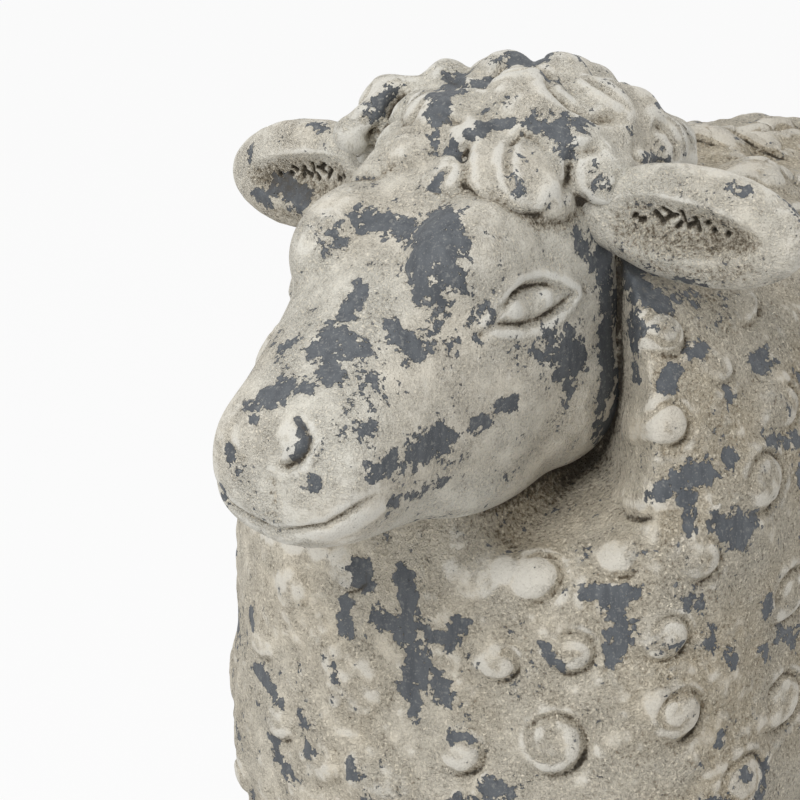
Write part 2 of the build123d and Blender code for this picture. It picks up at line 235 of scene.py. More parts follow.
def seen_place(tree, x, y):
    """The place and the normal of the skin under a pixel, or None."""
    place, normal, _, _ = tree.ray_cast(eye_point, pixel_ray(x, y))
    return (np.array(place), np.array(normal)) if place else None


def seen_line(tree, pixels, step=6):
    """A line of pixels laid on the skin."""
    found = []
    for (x0, y0), (x1, y1) in zip(pixels, pixels[1:] or pixels):
        count = max(1, round(math.hypot(x1 - x0, y1 - y0) / step))
        found += [seen_place(tree, x0 + (x1 - x0) * k / count, y0 + (y1 - y0) * k / count)
                  for k in range(count + 1)]
    return np.array([hit[0] for hit in found if hit])


# %% Strokes
MIRROR = np.array([-1, 1, 1])


def line_distance(points, line):
    """Each point's distance to a line, and how far along the line the nearest place is, from 0 to 1."""
    if len(line) == 1:
        return np.linalg.norm(points - line[0], axis=1), np.full(len(points), 0.5)
    lengths = np.linalg.norm(np.diff(line, axis=0), axis=1) + 1e-9
    passed = np.concatenate([[0], np.cumsum(lengths)])
    best = np.full(len(points), 1e9)
    along = np.zeros(len(points))
    for k, length in enumerate(lengths):
        axis = (line[k + 1] - line[k]) / length
        t = np.clip((points - line[k]) @ axis, 0, length)
        gap = np.linalg.norm(points - line[k] - t[:, None] * axis, axis=1)
        nearer = gap < best
        best[nearer] = gap[nearer]
        along[nearer] = ((passed[k] + t) / passed[-1])[nearer]
    return best, along


def close_by(points, line, reach):
    """Which points lie in a box round the line."""
    low, high = line.min(0) - reach, line.max(0) + reach
    return np.where(np.all((points > low) & (points < high), axis=1))[0]


def groove(points, normals, line, width, depth, taper=True):
    """Cuts a groove, in mm, that runs out at both ends."""
    near = close_by(points, line, 3 * width * MM)
    gap, along = line_distance(points[near], line)
    cut = depth * MM * np.exp(-(gap / (width * MM)) ** 2)
    if taper:
        cut *= np.clip(np.minimum(along, 1 - along) * 5, 0, 1) ** 0.5
    points[near] -= normals[near] * cut[:, None]


def swell(points, normals, line, radius, height):
    """Raises a soft lump, in mm, round a place or along a line. A negative height dents."""
    near = close_by(points, line, radius * MM)
    gap, _ = line_distance(points[near], line)
    rise = height * MM * np.clip(1 - (gap / (radius * MM)) ** 2, 0, 1) ** 2
    points[near] += normals[near] * rise[:, None]


# %% [markdown]
# The head is a wedge of rings from the back of the skull to the nose. Its rows give how far each ring
# stands ahead of the ears' line, its top and bottom above that line, and half its width, all in mm. Cheeks,
# brows and lips are balls pressed on both sides.

# %% The head's blank
HEAD_RINGS = [
    (-45, 20, -60, 38), (-22, 26, -98, 52), (0, 30, -110, 57), (25, 28, -113, 57), (50, 17, -115, 54),
    (75, -2, -114, 47), (100, -22, -113, 41), (120, -38, -112, 38.5), (135, -48, -109, 37),
    (143, -55, -103, 32), (148, -65, -94, 20)]
# Ahead, aside, up, then the three radii
SIDE_LUMPS = {"cheek": (5, 33, -68, 26, 43, 37), "jaw": (44, 24, -88, 21, 60, 26),
              "brow": (46, 27, -14, 23, 44, 27), "socket": (50, 35, -34, 17, 30, 20),
              "lip": (118, 17, -80, 20, 30, 23), "temple": (12, 30, -12, 23, 44, 31)}
MIDDLE_LUMPS = {"chin": (119, 0, -99, 24, 26, 13)}


def head_blank():
    rings = [(spot(ahead, 0, (top + bottom) / 2), half * MM, (top - bottom) / 2 * MM)
             for ahead, top, bottom, half in HEAD_RINGS]
    lumps = [ring_form("skull", rings, "front", squareness=2.25)]
    for name, (ahead, aside, up, *radii) in SIDE_LUMPS.items():
        lumps += [ball(name, spot(ahead, side * aside, up), radii) for side in (1, -1)]
    for name, (ahead, aside, up, *radii) in MIDDLE_LUMPS.items():
        lumps.append(ball(name, spot(ahead, aside, up), radii))
    return skin("head", lumps, voxel=2.2, rounds=22)


head = head_blank()

# %% [markdown]
# The face is carved where the picture shows it. Each line is a few pixels, laid on the skin by looking
# through the camera, and then mirrored to the far side. The eye is a flat almond inside a deep ring.

# %% Strokes on both sides of the face
def even_groove(points, normals, line, width, depth):
    """A groove that is as deep at its ends, for rings."""
    groove(points, normals, line, width, depth, taper=False)


def carve_face(piece, lines, strokes, middle=(), weaker=(), shift=0.0, share=1.0):
    """Lays lines on the skin and makes the strokes along them, on both sides or in the middle.

    On the far side, the lines named weaker lie further over, by the shift, and have a share of their depth.
    """
    tree = tree_of(piece)
    laid = {name: seen_line(tree, pixels) for name, pixels in lines.items()}
    points, normals = points_and_normals(piece)
    for mirrored in (False, True):
        for stroke, name, width, depth in strokes:
            line = laid[name] * MIRROR if mirrored else laid[name]
            if mirrored and name in weaker:
                line, depth = line + (shift * MM, 0, 0), depth * share
            stroke(points, normals, line, width, depth)
    for stroke, name, width, depth in middle:
        stroke(points, normals, laid[name] * (0, 1, 1), width, depth)
    move_points(piece, points)
    return laid


# %% Eyes
EYE_LINES = {
    "middle": [(531, 304)], "ball": [(518, 309), (544, 299)],
    "ring": [(492, 324), (499, 309), (512, 296), (527, 287), (543, 283), (558, 286), (572, 294), (564, 304),
             (552, 313), (537, 321), (520, 324), (504, 325), (492, 324)],
    "upper lid": [(488, 322), (500, 302), (514, 290), (530, 281), (546, 277), (562, 282), (576, 292)],
    "lower lid": [(500, 332), (522, 332), (542, 328), (560, 317), (572, 306)],
    "tear line": [(493, 325), (484, 331), (478, 338)], "crow line": [(570, 294), (580, 290), (588, 291)]}
# The stroke, its line, its width or radius, and its depth or height
EYE_STROKES = [
    (swell, "middle", 16, -2.6), (swell, "upper lid", 6.5, 1.7), (swell, "lower lid", 5.0, 0.7),
    (even_groove, "ring", 1.9, 2.6), (swell, "ball", 7.5, 3.0), (groove, "tear line", 1.5, 1.4),
    (groove, "crow line", 1.2, 0.9)]

eye = carve_face(head, EYE_LINES, EYE_STROKES)
print("eye middle at, mm:", np.round((eye["middle"][0] - EARS_AT) / MM, 1))

# %% Nose and mouth
MUZZLE_LINES = {
    "nostril": [(292, 418), (302, 427), (308, 439), (306, 450), (298, 461), (286, 467), (274, 466)],
    "pit": [(303, 455), (290, 464)], "wing": [(286, 436), (290, 452)],
    "mouth": [(279, 531), (300, 530), (326, 526), (345, 515), (362, 504), (378, 495)],
    "lower lip": [(290, 541), (325, 538), (355, 525), (380, 510)],
    "jaw fold": [(400, 512), (440, 498), (485, 486), (530, 470)],
    "philtrum": [(266, 470), (268, 487), (272, 505), (279, 524)]}
MUZZLE_STROKES = [
    (groove, "nostril", 1.6, 2.6), (groove, "pit", 1.8, 2.2), (swell, "wing", 7, 0.7),
    (groove, "mouth", 1.3, 1.9), (swell, "lower lip", 6, 0.9), (groove, "jaw fold", 4.0, 0.9)]

carve_face(head, MUZZLE_LINES, MUZZLE_STROKES, middle=[(groove, "philtrum", 3.4, 1.6)],
           weaker=("nostril", "pit", "wing"), shift=-9, share=0.5)
print("strokes on each side of the face:", len(EYE_STROKES) + len(MUZZLE_STROKES))

# %% [markdown]
# The fleece is one blank, cut into six at the end. The real trunk has a seam all round, where its two
# shells meet. Here each shell is cut twice more, across, only to keep the meshes light. The blank follows
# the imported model's rule for its ends, a little smaller, so that the curls have room to stand.

# %% The fleece's blank
TRUNK = dict(front=-209, rear=266, low=119, high=456, half=125, front_share=0.17, rear_share=0.27, waist=0.46)
CURL_RISE = 5.0
END_POWER = 2.3
RINGS, LEAST_SHARE = 37, 0.004


def fullness(t):
    return max(1 - (1 - min(t, 1)) ** END_POWER, 0) ** (1 / END_POWER)


def fleece_blank():
    length = TRUNK["rear"] - TRUNK["front"]
    middle = TRUNK["low"] + (TRUNK["high"] - TRUNK["low"]) * TRUNK["waist"]
    rings = []
    for k in range(RINGS):
        share = 0.5 - 0.5 * math.cos(math.pi * k / (RINGS - 1))
        share = min(max(share, LEAST_SHARE), 1 - LEAST_SHARE)
        full = min(fullness(share / TRUNK["front_share"]), fullness((1 - share) / TRUNK["rear_share"]))
        top = middle + (TRUNK["high"] - middle) * full - CURL_RISE
        low = middle - (middle - TRUNK["low"]) * full + CURL_RISE
        y = TRUNK["front"] + CURL_RISE + share * (length - 2 * CURL_RISE)
        place = Vector((0, y, (top + low) / 2)) * MM
        rings.append((place, max(TRUNK["half"] * full - CURL_RISE, 3) * MM, max(top - low, 6) / 2 * MM))
    barrel = ring_form("barrel", rings, "front", squareness=2.85, sides=64)
    return skin("fleece", [barrel], voxel=2.5, rounds=6)


def swells(piece, name, size, height):
    """Moves the whole skin in and out by a soft cloud pattern."""
    pattern = bpy.data.textures.new(name, "CLOUDS")
    pattern.noise_scale = size * MM
    pattern.noise_depth = 1
    use(piece, "DISPLACE", texture=pattern, texture_coords="LOCAL", strength=height * MM, mid_level=0.5)


fleece = fleece_blank()
for name, size, height in (("broad_swells", 55, 4), ("fine_swells", 15, 2.4), ("crumbly_swells", 6, 1.5)):
    swells(fleece, name, size, height)

# %% [markdown]
# The head stands out of the chest like a plug out of its socket, with the cheek free as far as its rear
# edge. So the fleece is pressed back all round the cheeks, and comes forward again towards the shoulders.
# It could be cut away, but a hard edge would show. The picture shows a tighter fit on the left, and none
# past the right cheek.

# %% Pressing the fleece back behind the cheeks
HEAD_HALF, HEAD_MIDDLE, HEAD_HEIGHT = 57, -38, 77
# Where the collar starts at the cheek, ahead of the ears' line, and how steeply it comes forward
LEFT_SET, LEFT_SLOPE = -8, 1.0
RIGHT_SET, RIGHT_SLOPE = -18, 0.6
COLLAR_SOFTNESS = 6
# Where the pressing begins, and over how many mm it grows to its full strength
BESIDE, ABOVE, AHEAD = (22, 22), (-142, 42), (-60, 30)
# The lower flanks: the height below which they are fuller, the drop to the fullest place, and by how much
FLANK_TOP, FLANK_DROP, FLANK_SHARE, BREAST_SHARE = 274, 155, 0.045, 0.6


def press_back(piece):
    points, _ = points_and_normals(piece)
    local = (points - EARS_AT) / MM
    ahead, aside, up = -local[:, 1], np.abs(local[:, 0]), local[:, 2]
    section = ((aside / HEAD_HALF) ** 4 + (np.abs(up - HEAD_MIDDLE) / HEAD_HEIGHT) ** 4) ** 0.25
    is_left = local[:, 0] > 0
    start, slope = np.where(is_left, LEFT_SET, RIGHT_SET), np.where(is_left, LEFT_SLOPE, RIGHT_SLOPE)
    limit = start + slope * np.maximum((section - 1) * HEAD_HALF, 0)
    beyond = ahead - limit
    beyond = (beyond + np.sqrt(beyond ** 2 + COLLAR_SOFTNESS ** 2)) / 2
    beside, above, front = (np.clip((value - start) / span, 0, 1) for value, (start, span) in
                            ((aside, BESIDE), (up, ABOVE), (ahead, AHEAD)))
    weight = beside ** 2 * (3 - 2 * beside) * above ** 2 * (3 - 2 * above)
    points[:, 1] += np.where(ahead > AHEAD[0], weight * beyond * MM * front, 0)
    move_points(piece, points)


def fill_out(piece):
    """Lets the lower flanks hang a little fuller than the blank."""
    points, _ = points_and_normals(piece)
    low = np.clip((FLANK_TOP * MM - points[:, 2]) / (FLANK_DROP * MM), 0, 1)
    share = 1 + FLANK_SHARE * np.sin(math.pi * low)
    points[:, 0] *= share
    points[:, 1] = np.where(points[:, 1] < 0, points[:, 1] * (1 + (share - 1) * BREAST_SHARE), points[:, 1])
    move_points(piece, points)


press_back(fleece)
fill_out(fleece)
use(fleece, "SMOOTH", factor=0.5, iterations=3)

# %% [markdown]
# A curl of the fleece is a knob with a groove wound round it. The groove is deep at the right and below,
# where the modelling tool went in, and fades to a scratch as it winds over the top. Large curls sit on a
# wide mound like a snail on its shell. A texture could fake them, but they stand 5 mm proud and show in the
# outline.

# %% One curl
GROOVE_START = math.radians(-165)
STEEP_SIDE = math.radians(-25)
FULL_TURN = 2 * math.pi
# Heights and depths as shares of the radius, and the most they may be
KNOB_SHARE, KNOB_MOST, SNAIL_KNOB, RIM_SHARE = 0.31, 0.75 * CURL_RISE, 0.6, 0.03
CUT_SHARE, CUT_MOST, CUT_WIDTH = 0.24, 2.9, 0.75
# How deep and how wide the groove is after so many turns
DEPTH_AFTER = ((0, 0.12, 0.3, 0.5, 0.7, 1.0, 1.5), (0, 0.5, 1, 1, 0.7, 0.5, 0.3))
WIDTH_AFTER = ((0, 0.3, 0.5, 0.7, 1.5), (0.06, 0.09, 0.09, 0.06, 0.05))


def curl(points, normals, place, facing, radius, wind=1.0, mound=0.0, hand=1, roll=0.0, widen=1.0):
    """Shapes one curl. Radius in mm, wind in turns, mound as a share of the radius.

    Rho and the angle are polar coordinates round the curl's middle, and rho is one at its edge.
    """
    reach = radius * MM
    near = close_by(points, place[None], 3.0 * reach)
    near = near[normals[near] @ facing > -0.2]
    aside = np.cross((0, 0, 1), facing)
    aside = aside / np.linalg.norm(aside) * hand
    rise = np.cross(facing, aside) * hand
    offset = points[near] - place
    a, b = offset @ aside / reach / widen, offset @ rise / reach
    rho, angle = np.hypot(a, b), np.arctan2(b, a) + roll
    steep = 0.5 + 0.5 * np.cos(angle - STEEP_SIDE)
    knob = min(KNOB_SHARE * radius, KNOB_MOST) * (SNAIL_KNOB if mound else 1)
    height = knob * np.clip(1 - (rho / (1.45 - 0.45 * steep)) ** 2, 0, 1) ** (1.15 - 0.3 * steep)
    height += mound * radius * np.clip(1 - ((a + 0.8) ** 2 + (b + 0.15) ** 2) / 1.9 ** 2, 0, 1) ** 1.2
    height += RIM_SHARE * radius * steep * np.exp(-((rho - 1.5) / 0.3) ** 2)
    for lap in (0, 1):
        passed = ((angle - GROOVE_START) % FULL_TURN) / FULL_TURN + lap
        where = 1.10 - 0.62 * passed / max(wind, 0.9)
        strength = np.interp(passed, *DEPTH_AFTER)
        strength *= np.clip((wind - passed) * 8, 0, 1)
        width = np.interp(passed, *WIDTH_AFTER) + CUT_WIDTH / radius
        height -= strength * min(CUT_SHARE * radius, CUT_MOST) * np.exp(-((rho - where) / width) ** 2)
    points[near] += normals[near] * (height * MM)[:, None]


# %% The curls in the picture
# Pixel x, pixel y, radius in pixels, turns of the groove, and the mound where there is one
SEEN_CURLS = [
    (664, 331, 25, 1.5), (740, 303, 24, 0.5), (719, 367, 19, 0.5), (669, 421, 25, 1.0), (782, 403, 27, 0.7),
    (795, 325, 24, 0.4), (641, 493, 25, 0.45), (762, 478, 33, 1.1), (536, 573, 29, 0.85),
    (620, 557, 21, 0.5), (701, 556, 26, 0.75), (786, 592, 31, 1.1), (571, 648, 27, 0.85),
    (668, 634, 27, 0.95), (500, 661, 22, 0.7), (554, 741, 35, 1.3), (656, 705, 46, 0), (676, 711, 30, 1.2),
    (778, 698, 31, 1.1), (742, 781, 33, 1.3), (463, 751, 25, 0.6), (484, 568, 30, 0), (381, 785, 34, 0),
    (360, 682, 34, 0), (291, 589, 20, 0), (262, 644, 16, 0.4), (281, 723, 20, 0.4), (350, 571, 22, 0.6),
    (322, 765, 22, 0), (714, 156, 28, 0, 0.5), (757, 146, 32, 0.5, 0.5), (796, 144, 30, 0, 0.5),
    (748, 178, 26, 0.5, 0.4), (788, 182, 28, 0.6, 0.4)]
LEAST_SLANT = 0.3


def carve_seen_curls(piece):
    tree = tree_of(piece)
    hits = [(seen_place(tree, x, y), *rest) for x, y, *rest in SEEN_CURLS]
    points, normals = points_and_normals(piece)
    made = []
    for hit, size, *shape in hits:
        if hit:
            view = EYE - hit[0]
            slant = max(hit[1] @ view / np.linalg.norm(view), LEAST_SLANT)
            curl(points, normals, *hit, size * PIXEL / MM, *shape, widen=slant ** -0.6)
            made.append(hit[0])
    move_points(piece, points)
    print("curls set by the picture:", len(made), "of", len(SEEN_CURLS))
    return made


seen_curls = carve_seen_curls(fleece)

# %% [markdown]
# The rest of the sheep has curls of the same sizes. Rays are sent at the trunk from five sides, in rows
# that are staggered like bricks, and each ray goes a little astray. A pure random draw would leave bald
# patches and crowds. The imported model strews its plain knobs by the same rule, so groove and knob fall
# together.

# %% The curls elsewhere
SPACING, STRAY = 38.0, 0.45
CLEARANCE = 12.0
SCATTER = (0.6180, 0.7549, 0.5698)
CURL_RADII = (9.0, 14.0)
LEAST_FACING, LEAST_GAP = 0.7, 0.8
SNAILS = 0.15                   # share of the curls that sit on a mound
# What the picture shows of the fleece, in pixels: beside the cheek, and below the slanting line of the jaw
CHEEK_CORNER = (632, 285)
JAW_LEFT, JAW_HEIGHT, JAW_SLANT = 225, 630, 0.25
NEIGHBOURS = ("head_shell", "wool_cap", "left_ear", "right_ear", "tail", "front_left_leg", "front_right_leg",
              "rear_left_leg", "rear_right_leg")


def pictured(place, facing):
    """Whether the picture shows the fleece at a place."""
    x, y = pixels_of(place[None])[0]
    view = EYE - place
    turned_to_us = facing @ view / np.linalg.norm(view) > 0.15
    beside_cheek = x > CHEEK_CORNER[0] and y > CHEEK_CORNER[1]
    below_jaw = x > JAW_LEFT and y > JAW_HEIGHT - JAW_SLANT * x
    return max(x, y) < PICTURE + 12 and (beside_cheek or below_jaw) and turned_to_us


def side_rays():
    """Starts and directions of the rays at the trunk, in mm."""
    width, length, depth = 2 * TRUNK["half"], TRUNK["rear"] - TRUNK["front"], TRUNK["high"] - TRUNK["low"]
    middle = np.array((0, (TRUNK["rear"] + TRUNK["front"]) / 2, (TRUNK["high"] + TRUNK["low"]) / 2))
    ahead, left, up = np.array((0, -1, 0)), np.array((1, 0, 0)), np.array((0, 0, 1))
    sides = [(ahead, left, up, width, depth), (-ahead, left, up, width, depth),
             (left, ahead, up, length, depth), (-left, ahead, up, length, depth),
             (up, left, ahead, width, length)]
    rays = []
    for facing, along, rise, wide, high in sides:
        rows, columns = round(high / (SPACING * 0.87)), round(wide / SPACING)
        for k in range(rows * columns):
            row, column = divmod(k, columns)
            astray = [(len(rays) * share % 1 - 0.5) * SPACING * STRAY for share in SCATTER]
            u = ((column + 0.25 + row % 2 / 2) / columns - 0.5) * wide + astray[0]
            v = ((row + 0.5) / rows - 0.5) * high + astray[1]
            rays.append((middle + facing * length + along * u + rise * v, -facing))
    return rays


def clear_of_neighbours(place, boxes):
    for low, high in boxes:
        if all(low[k] - CLEARANCE * MM < place[k] < high[k] + CLEARANCE * MM for k in range(3)):
            return False
    return True


def carve_strewn_curls(piece, taken):
    tree = tree_of(piece)
    places, hits = list(taken), []
    boxes = [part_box(node) for node in NEIGHBOURS]
    for k, (start, aim) in enumerate(side_rays()):
        place, facing, _, _ = tree.ray_cast(Vector(start) * MM, Vector(aim))
        if place is None or -facing.dot(Vector(aim)) < LEAST_FACING or not clear_of_neighbours(place, boxes):
            continue
        place, facing = np.array(place), np.array(facing)
        crowded = min(np.linalg.norm(np.array(places) - place, axis=1)) < LEAST_GAP * SPACING * MM
        if not crowded and not pictured(place, facing):
            places.append(place)
            radius = CURL_RADII[0] + (CURL_RADII[1] - CURL_RADII[0]) * (k * SCATTER[2] % 1)
            hits.append((place, facing, radius))
    draw = np.random.default_rng(5)
    points, normals = points_and_normals(piece)
    for place, facing, radius in hits:
        hand = 1 if place[0] > 0 else -1
        snail = draw.uniform() < SNAILS
        curl(points, normals, place, facing, radius * (0.75 if snail else 1), draw.uniform(0.5, 1.4),
             0.28 if snail else 0, hand, draw.uniform(-0.6, 0.6))
    move_points(piece, points)
    print("curls strewn elsewhere:", len(hits))


carve_strewn_curls(fleece, seen_curls)

# %% [markdown]
# Where the coat is rubbed off, the grey cement shows. Each piece of the figure carries that as a number on
# its points, above zero where it is bare. The patches in the picture are short lines of pixels with a
# width, and the far side of the face repeats them. The sides that the picture doesn't show get patches by a
# seeded draw.

# %% The bare patches in the picture
# Width in pixels, how bare from 0 to 1, and the line's pixels, x and y by turns
HEAD_PATCHES = [
    (16, 0.9, 597, 205, 604, 262, 607, 330, 608, 385), (10, 0.7, 606, 385, 598, 430),
    (27, 1, 432, 224, 436, 262), (19, 0.9, 418, 268, 424, 282), (14, 0.95, 362, 218, 405, 232),
    (12, 0.5, 330, 246, 352, 222), (20, 0.55, 436, 296, 440, 338), (12, 0.75, 394, 330, 414, 350),
    (9, 1, 358, 290, 347, 316), (15, 1, 334, 334, 322, 346), (11, 1, 332, 356, 331, 378),
    (8, 0.9, 346, 348, 360, 352), (20, 0.5, 392, 352, 372, 408), (20, 0.5, 352, 428, 366, 418),
    (14, 1, 258, 403, 282, 391), (5, 0.95, 299, 420, 305, 440, 297, 458), (6, 0.8, 314, 482, 316, 490),
    (7, 0.8, 224, 492, 224, 503), (6, 0.7, 228, 450, 231, 458), (8, 0.6, 288, 343, 284, 348),
    (7, 0.7, 306, 380, 308, 392), (13, 0.75, 378, 470, 402, 461), (17, 0.85, 418, 452, 446, 436),
    (9, 0.8, 470, 428, 486, 420), (7, 0.8, 500, 406, 516, 402), (14, 0.5, 420, 490, 430, 482),
    (7, 0.6, 388, 503, 450, 480), (27, 0.8, 556, 354, 574, 352), (10, 0.6, 566, 386, 566, 398),
    (12, 0.75, 580, 243, 602, 270, 606, 296), (15, 1, 616, 300, 624, 350, 618, 402, 600, 444),
    (9, 0.55, 484, 312, 490, 318), (6, 0.6, 474, 338, 480, 344), (10, 0.45, 460, 300, 470, 318),
    (9, 0.6, 594, 250, 590, 232)]
CAP_PATCHES = [
    (13, 0.95, 456, 84, 441, 98, 440, 114), (9, 0.8, 470, 86, 486, 80), (7, 0.9, 434, 138, 436, 141),
    (9, 0.95, 454, 152, 460, 160), (7, 0.8, 440, 180, 434, 188), (8, 1, 470, 133, 488, 126, 510, 124),
    (10, 0.8, 530, 124, 560, 132, 570, 152), (8, 0.55, 529, 152, 531, 162), (6, 0.6, 516, 176, 518, 190),
    (7, 0.8, 551, 198, 549, 206), (9, 0.7, 648, 160, 664, 160), (7, 0.5, 630, 124, 632, 132),
    (13, 0.42, 592, 166, 604, 182), (10, 0.7, 392, 88, 380, 104), (10, 0.85, 444, 56, 462, 58),
    (8, 0.8, 622, 205, 594, 224, 580, 236), (10, 0.55, 362, 186, 404, 197), (14, 0.5, 566, 118, 584, 128)]
CHEST_PATCHES = [
    (11, 1, 363, 566, 365, 580), (9, 0.9, 344, 604, 344, 634), (12, 1, 402, 578, 407, 602),
    (13, 1, 380, 618, 410, 632, 418, 656, 414, 690), (8, 1, 415, 700, 414, 716),
    (8, 0.95, 425, 632, 449, 642, 460, 624), (13, 1, 440, 684, 443, 692), (6, 0.9, 334, 666, 334, 678),
    (5, 0.9, 251, 612, 253, 630), (8, 0.9, 255, 668, 272, 688, 280, 702),
    (8, 0.95, 272, 738, 282, 764, 291, 776), (6, 0.7, 299, 712, 304, 724), (6, 0.7, 306, 746, 308, 754),
    (8, 0.8, 348, 764, 350, 774), (6, 0.9, 452, 737, 468, 738), (11, 0.9, 488, 786, 508, 794),
    (8, 0.95, 588, 593, 636, 592), (11, 1, 612, 602, 621, 622, 619, 642, 612, 658),
    (6, 0.9, 543, 645, 551, 660, 562, 668), (11, 1, 722, 534, 742, 538), (7, 0.8, 690, 524, 692, 530),
    (9, 0.8, 692, 604, 700, 608), (9, 0.7, 710, 632, 712, 646), (7, 0.8, 728, 656, 734, 662),
    (8, 0.5, 670, 652, 682, 644), (8, 0.75, 768, 602, 768, 614), (11, 0.7, 780, 628, 794, 640),
    (6, 0.7, 760, 648, 766, 654), (7, 0.8, 717, 742, 722, 732), (6, 0.8, 744, 772, 747, 777),
    (9, 0.9, 634, 370, 638, 378), (8, 0.9, 674, 370, 667, 386), (9, 0.85, 692, 352, 704, 347),
    (13, 1, 756, 364, 766, 360), (7, 0.8, 728, 392, 729, 402), (8, 0.85, 770, 439, 802, 442),
    (8, 0.9, 726, 458, 732, 462), (12, 1, 682, 480, 704, 471), (8, 1, 688, 494, 692, 524),
    (12, 0.95, 712, 524, 752, 521), (10, 0.6, 682, 294, 696, 298), (8, 0.8, 650, 498, 668, 488),
    (15, 1, 626, 268, 640, 292, 662, 302), (8, 0.9, 636, 312, 632, 330), (8, 0.5, 794, 372, 800, 384),
    (8, 0.7, 800, 456, 800, 480)]
LEFT_EAR_PATCHES = [
    (8, 0.6, 684, 281, 702, 283), (7, 0.5, 640, 262, 650, 268), (8, 0.6, 732, 186, 742, 190)]
RIGHT_EAR_PATCHES = [
    (12, 0.85, 280, 186, 306, 196), (8, 0.8, 256, 196, 268, 204), (8, 0.6, 312, 128, 326, 132),
    (6, 0.6, 252, 150, 250, 156)]
COATED, BARE = -0.52, 0.51
AVERTED = 0.4                   # from here on, a point is turned away from the camera
WANDER, WANDER_MOST = 0.45, 2.4
STREWN_DRIFT, STREWN_WIDTHS, STREWN_AMOUNTS = 9, (2.5, 8), [0.5, 0.8, 1.0]


def mark_bare(piece, patches, strewn, mirror=False, seed=1):
    """Gives each point how bare it is, from the patches seen and a number of strewn ones.

    Mirrored patches show only where the camera doesn't look, and the edges wander in and out.
    """
    tree = tree_of(piece)
    points, normals = points_and_normals(piece)
    most = np.zeros(len(points))
    view = EYE - points
    averted = np.clip(AVERTED - 5 * np.sum(normals * view, axis=1) / np.linalg.norm(view, axis=1), 0, 1)
    x, y, z = points.T / MM
    wander = np.sin(0.55 * x + 1.9 * np.sin(0.37 * z)) * np.sin(0.61 * z + 1.7 * np.sin(0.43 * y + 0.29 * x))
    wander += 0.5 * np.sin(1.3 * x + 2.1 * np.sin(0.9 * y)) * np.sin(1.5 * z + 1.2 * np.sin(1.1 * x))

    def add(line, width, amount, unseen=False):
        near = close_by(points, line, 1.6 * width * MM + 3 * MM)
        gap, _ = line_distance(points[near], line)
        gap = gap + wander[near] * min(WANDER * width, WANDER_MOST) * MM
        strength = amount * np.clip((1.6 - gap / (width * MM)) / 1.1, 0, 1) * (averted[near] if unseen else 1)
        most[near] = np.maximum(most[near], strength)

    for width, amount, *pixels in patches:
        line = seen_line(tree, list(zip(pixels[::2], pixels[1::2])))
        if len(line):
            add(line, width * PIXEL / MM, amount)
            if mirror:
                add(line * MIRROR, width * PIXEL / MM * 0.9, amount, unseen=True)
    draw = np.random.default_rng(seed)
    x, y = pixels_of(points).T
    hidden = (averted > AVERTED) | (x < 0) | (x > PICTURE + 5) | (y > PICTURE + 5)
    candidates = np.where(hidden)[0]
    for k in draw.choice(candidates, strewn) if len(candidates) else []:
        drift = draw.normal(size=3) * STREWN_DRIFT * MM
        drift -= normals[k] * (drift @ normals[k])
        line = np.array([points[k], points[k] + drift])
        add(line, draw.uniform(*STREWN_WIDTHS), draw.choice(STREWN_AMOUNTS))
    put_attribute(piece, "bare", COATED + (BARE - COATED) * most)


# %% How deep each point lies
# How much deeper an ear's dish counts, for its sand and for painted shade in the hollow
DISH_SAND_AND_SHADE = 0.75
# Sand and painted shade beside the next piece: near it, and in the last few mm, as depths in mm
GATHERED_SAND_AND_SHADE, PACKED_SAND_AND_SHADE, PACKED_REACH = 0.7, 0.5, 5
MIDDLE_HALF = 30


def mark_recess(piece, rounds, beside=None, reach=22):
    """Gives each point how deep it lies below its surroundings, in mm. Crests are below zero.

    Points beside the next piece, within the reach in mm, count as deeper, for sand and painted shade, and
    least so at the middle.
    """
    points, normals = points_and_normals(piece)
    edges = read(piece.data.edges, "vertices", 2, int)
    count = np.bincount(edges.ravel(), minlength=len(points))[:, None]
    mean = points.copy()
    for _ in range(rounds):
        sums = [np.bincount(edges[:, 0], mean[edges[:, 1], k], len(points))
                + np.bincount(edges[:, 1], mean[edges[:, 0], k], len(points)) for k in range(3)]
        mean = np.stack(sums, axis=1) / count
    depth = np.sum((mean - points) * normals, axis=1) / MM
    # Sand and painted shade: an ear's dish counts as deeper, so it comes out darker
    if "dished" in piece.data.attributes:
        dished = read(piece.data.attributes["dished"].data, "value", 1)[:, 0]
        depth += DISH_SAND_AND_SHADE * np.minimum(dished * 1.6, 1)
    if beside:
        tree = tree_of(beside)
        for k, point in enumerate(points):
            gap = tree.find_nearest(Vector(point), reach * MM)[3]
            if gap is not None:
                share = min(abs(point[0]) / (MIDDLE_HALF * MM), 1)
                packed_sand_and_shade = PACKED_SAND_AND_SHADE * max(1 - gap / (PACKED_REACH * MM), 0)
                depth[k] += share * (GATHERED_SAND_AND_SHADE * (1 - gap / (reach * MM)) + packed_sand_and_shade)
    put_attribute(piece, "recess", depth)
    return depth


# Painted light: the right breast, which faces the side the light comes from, is painted paler
PAINTED_LIGHT_SIDE = np.array((-0.62, -0.78, 0.1))
mark_bare(fleece, CHEST_PATCHES, 220, seed=25)
mark_recess(fleece, 10, beside=head)
put_attribute(fleece, "painted_light", np.clip(points_and_normals(fleece)[1] @ PAINTED_LIGHT_SIDE * 1.6 - 0.35, 0, 1))

# %% [markdown]
# The marks are made before the fleece is cut, so that no seam shows in them. The trunk could be a shell
# with a wall, as the real one is, but nothing here looks inside it, so the pieces are closed and solid.

# %% Cutting the fleece into pieces
CUTS_ACROSS = {"rear": 95, "middle": -45}


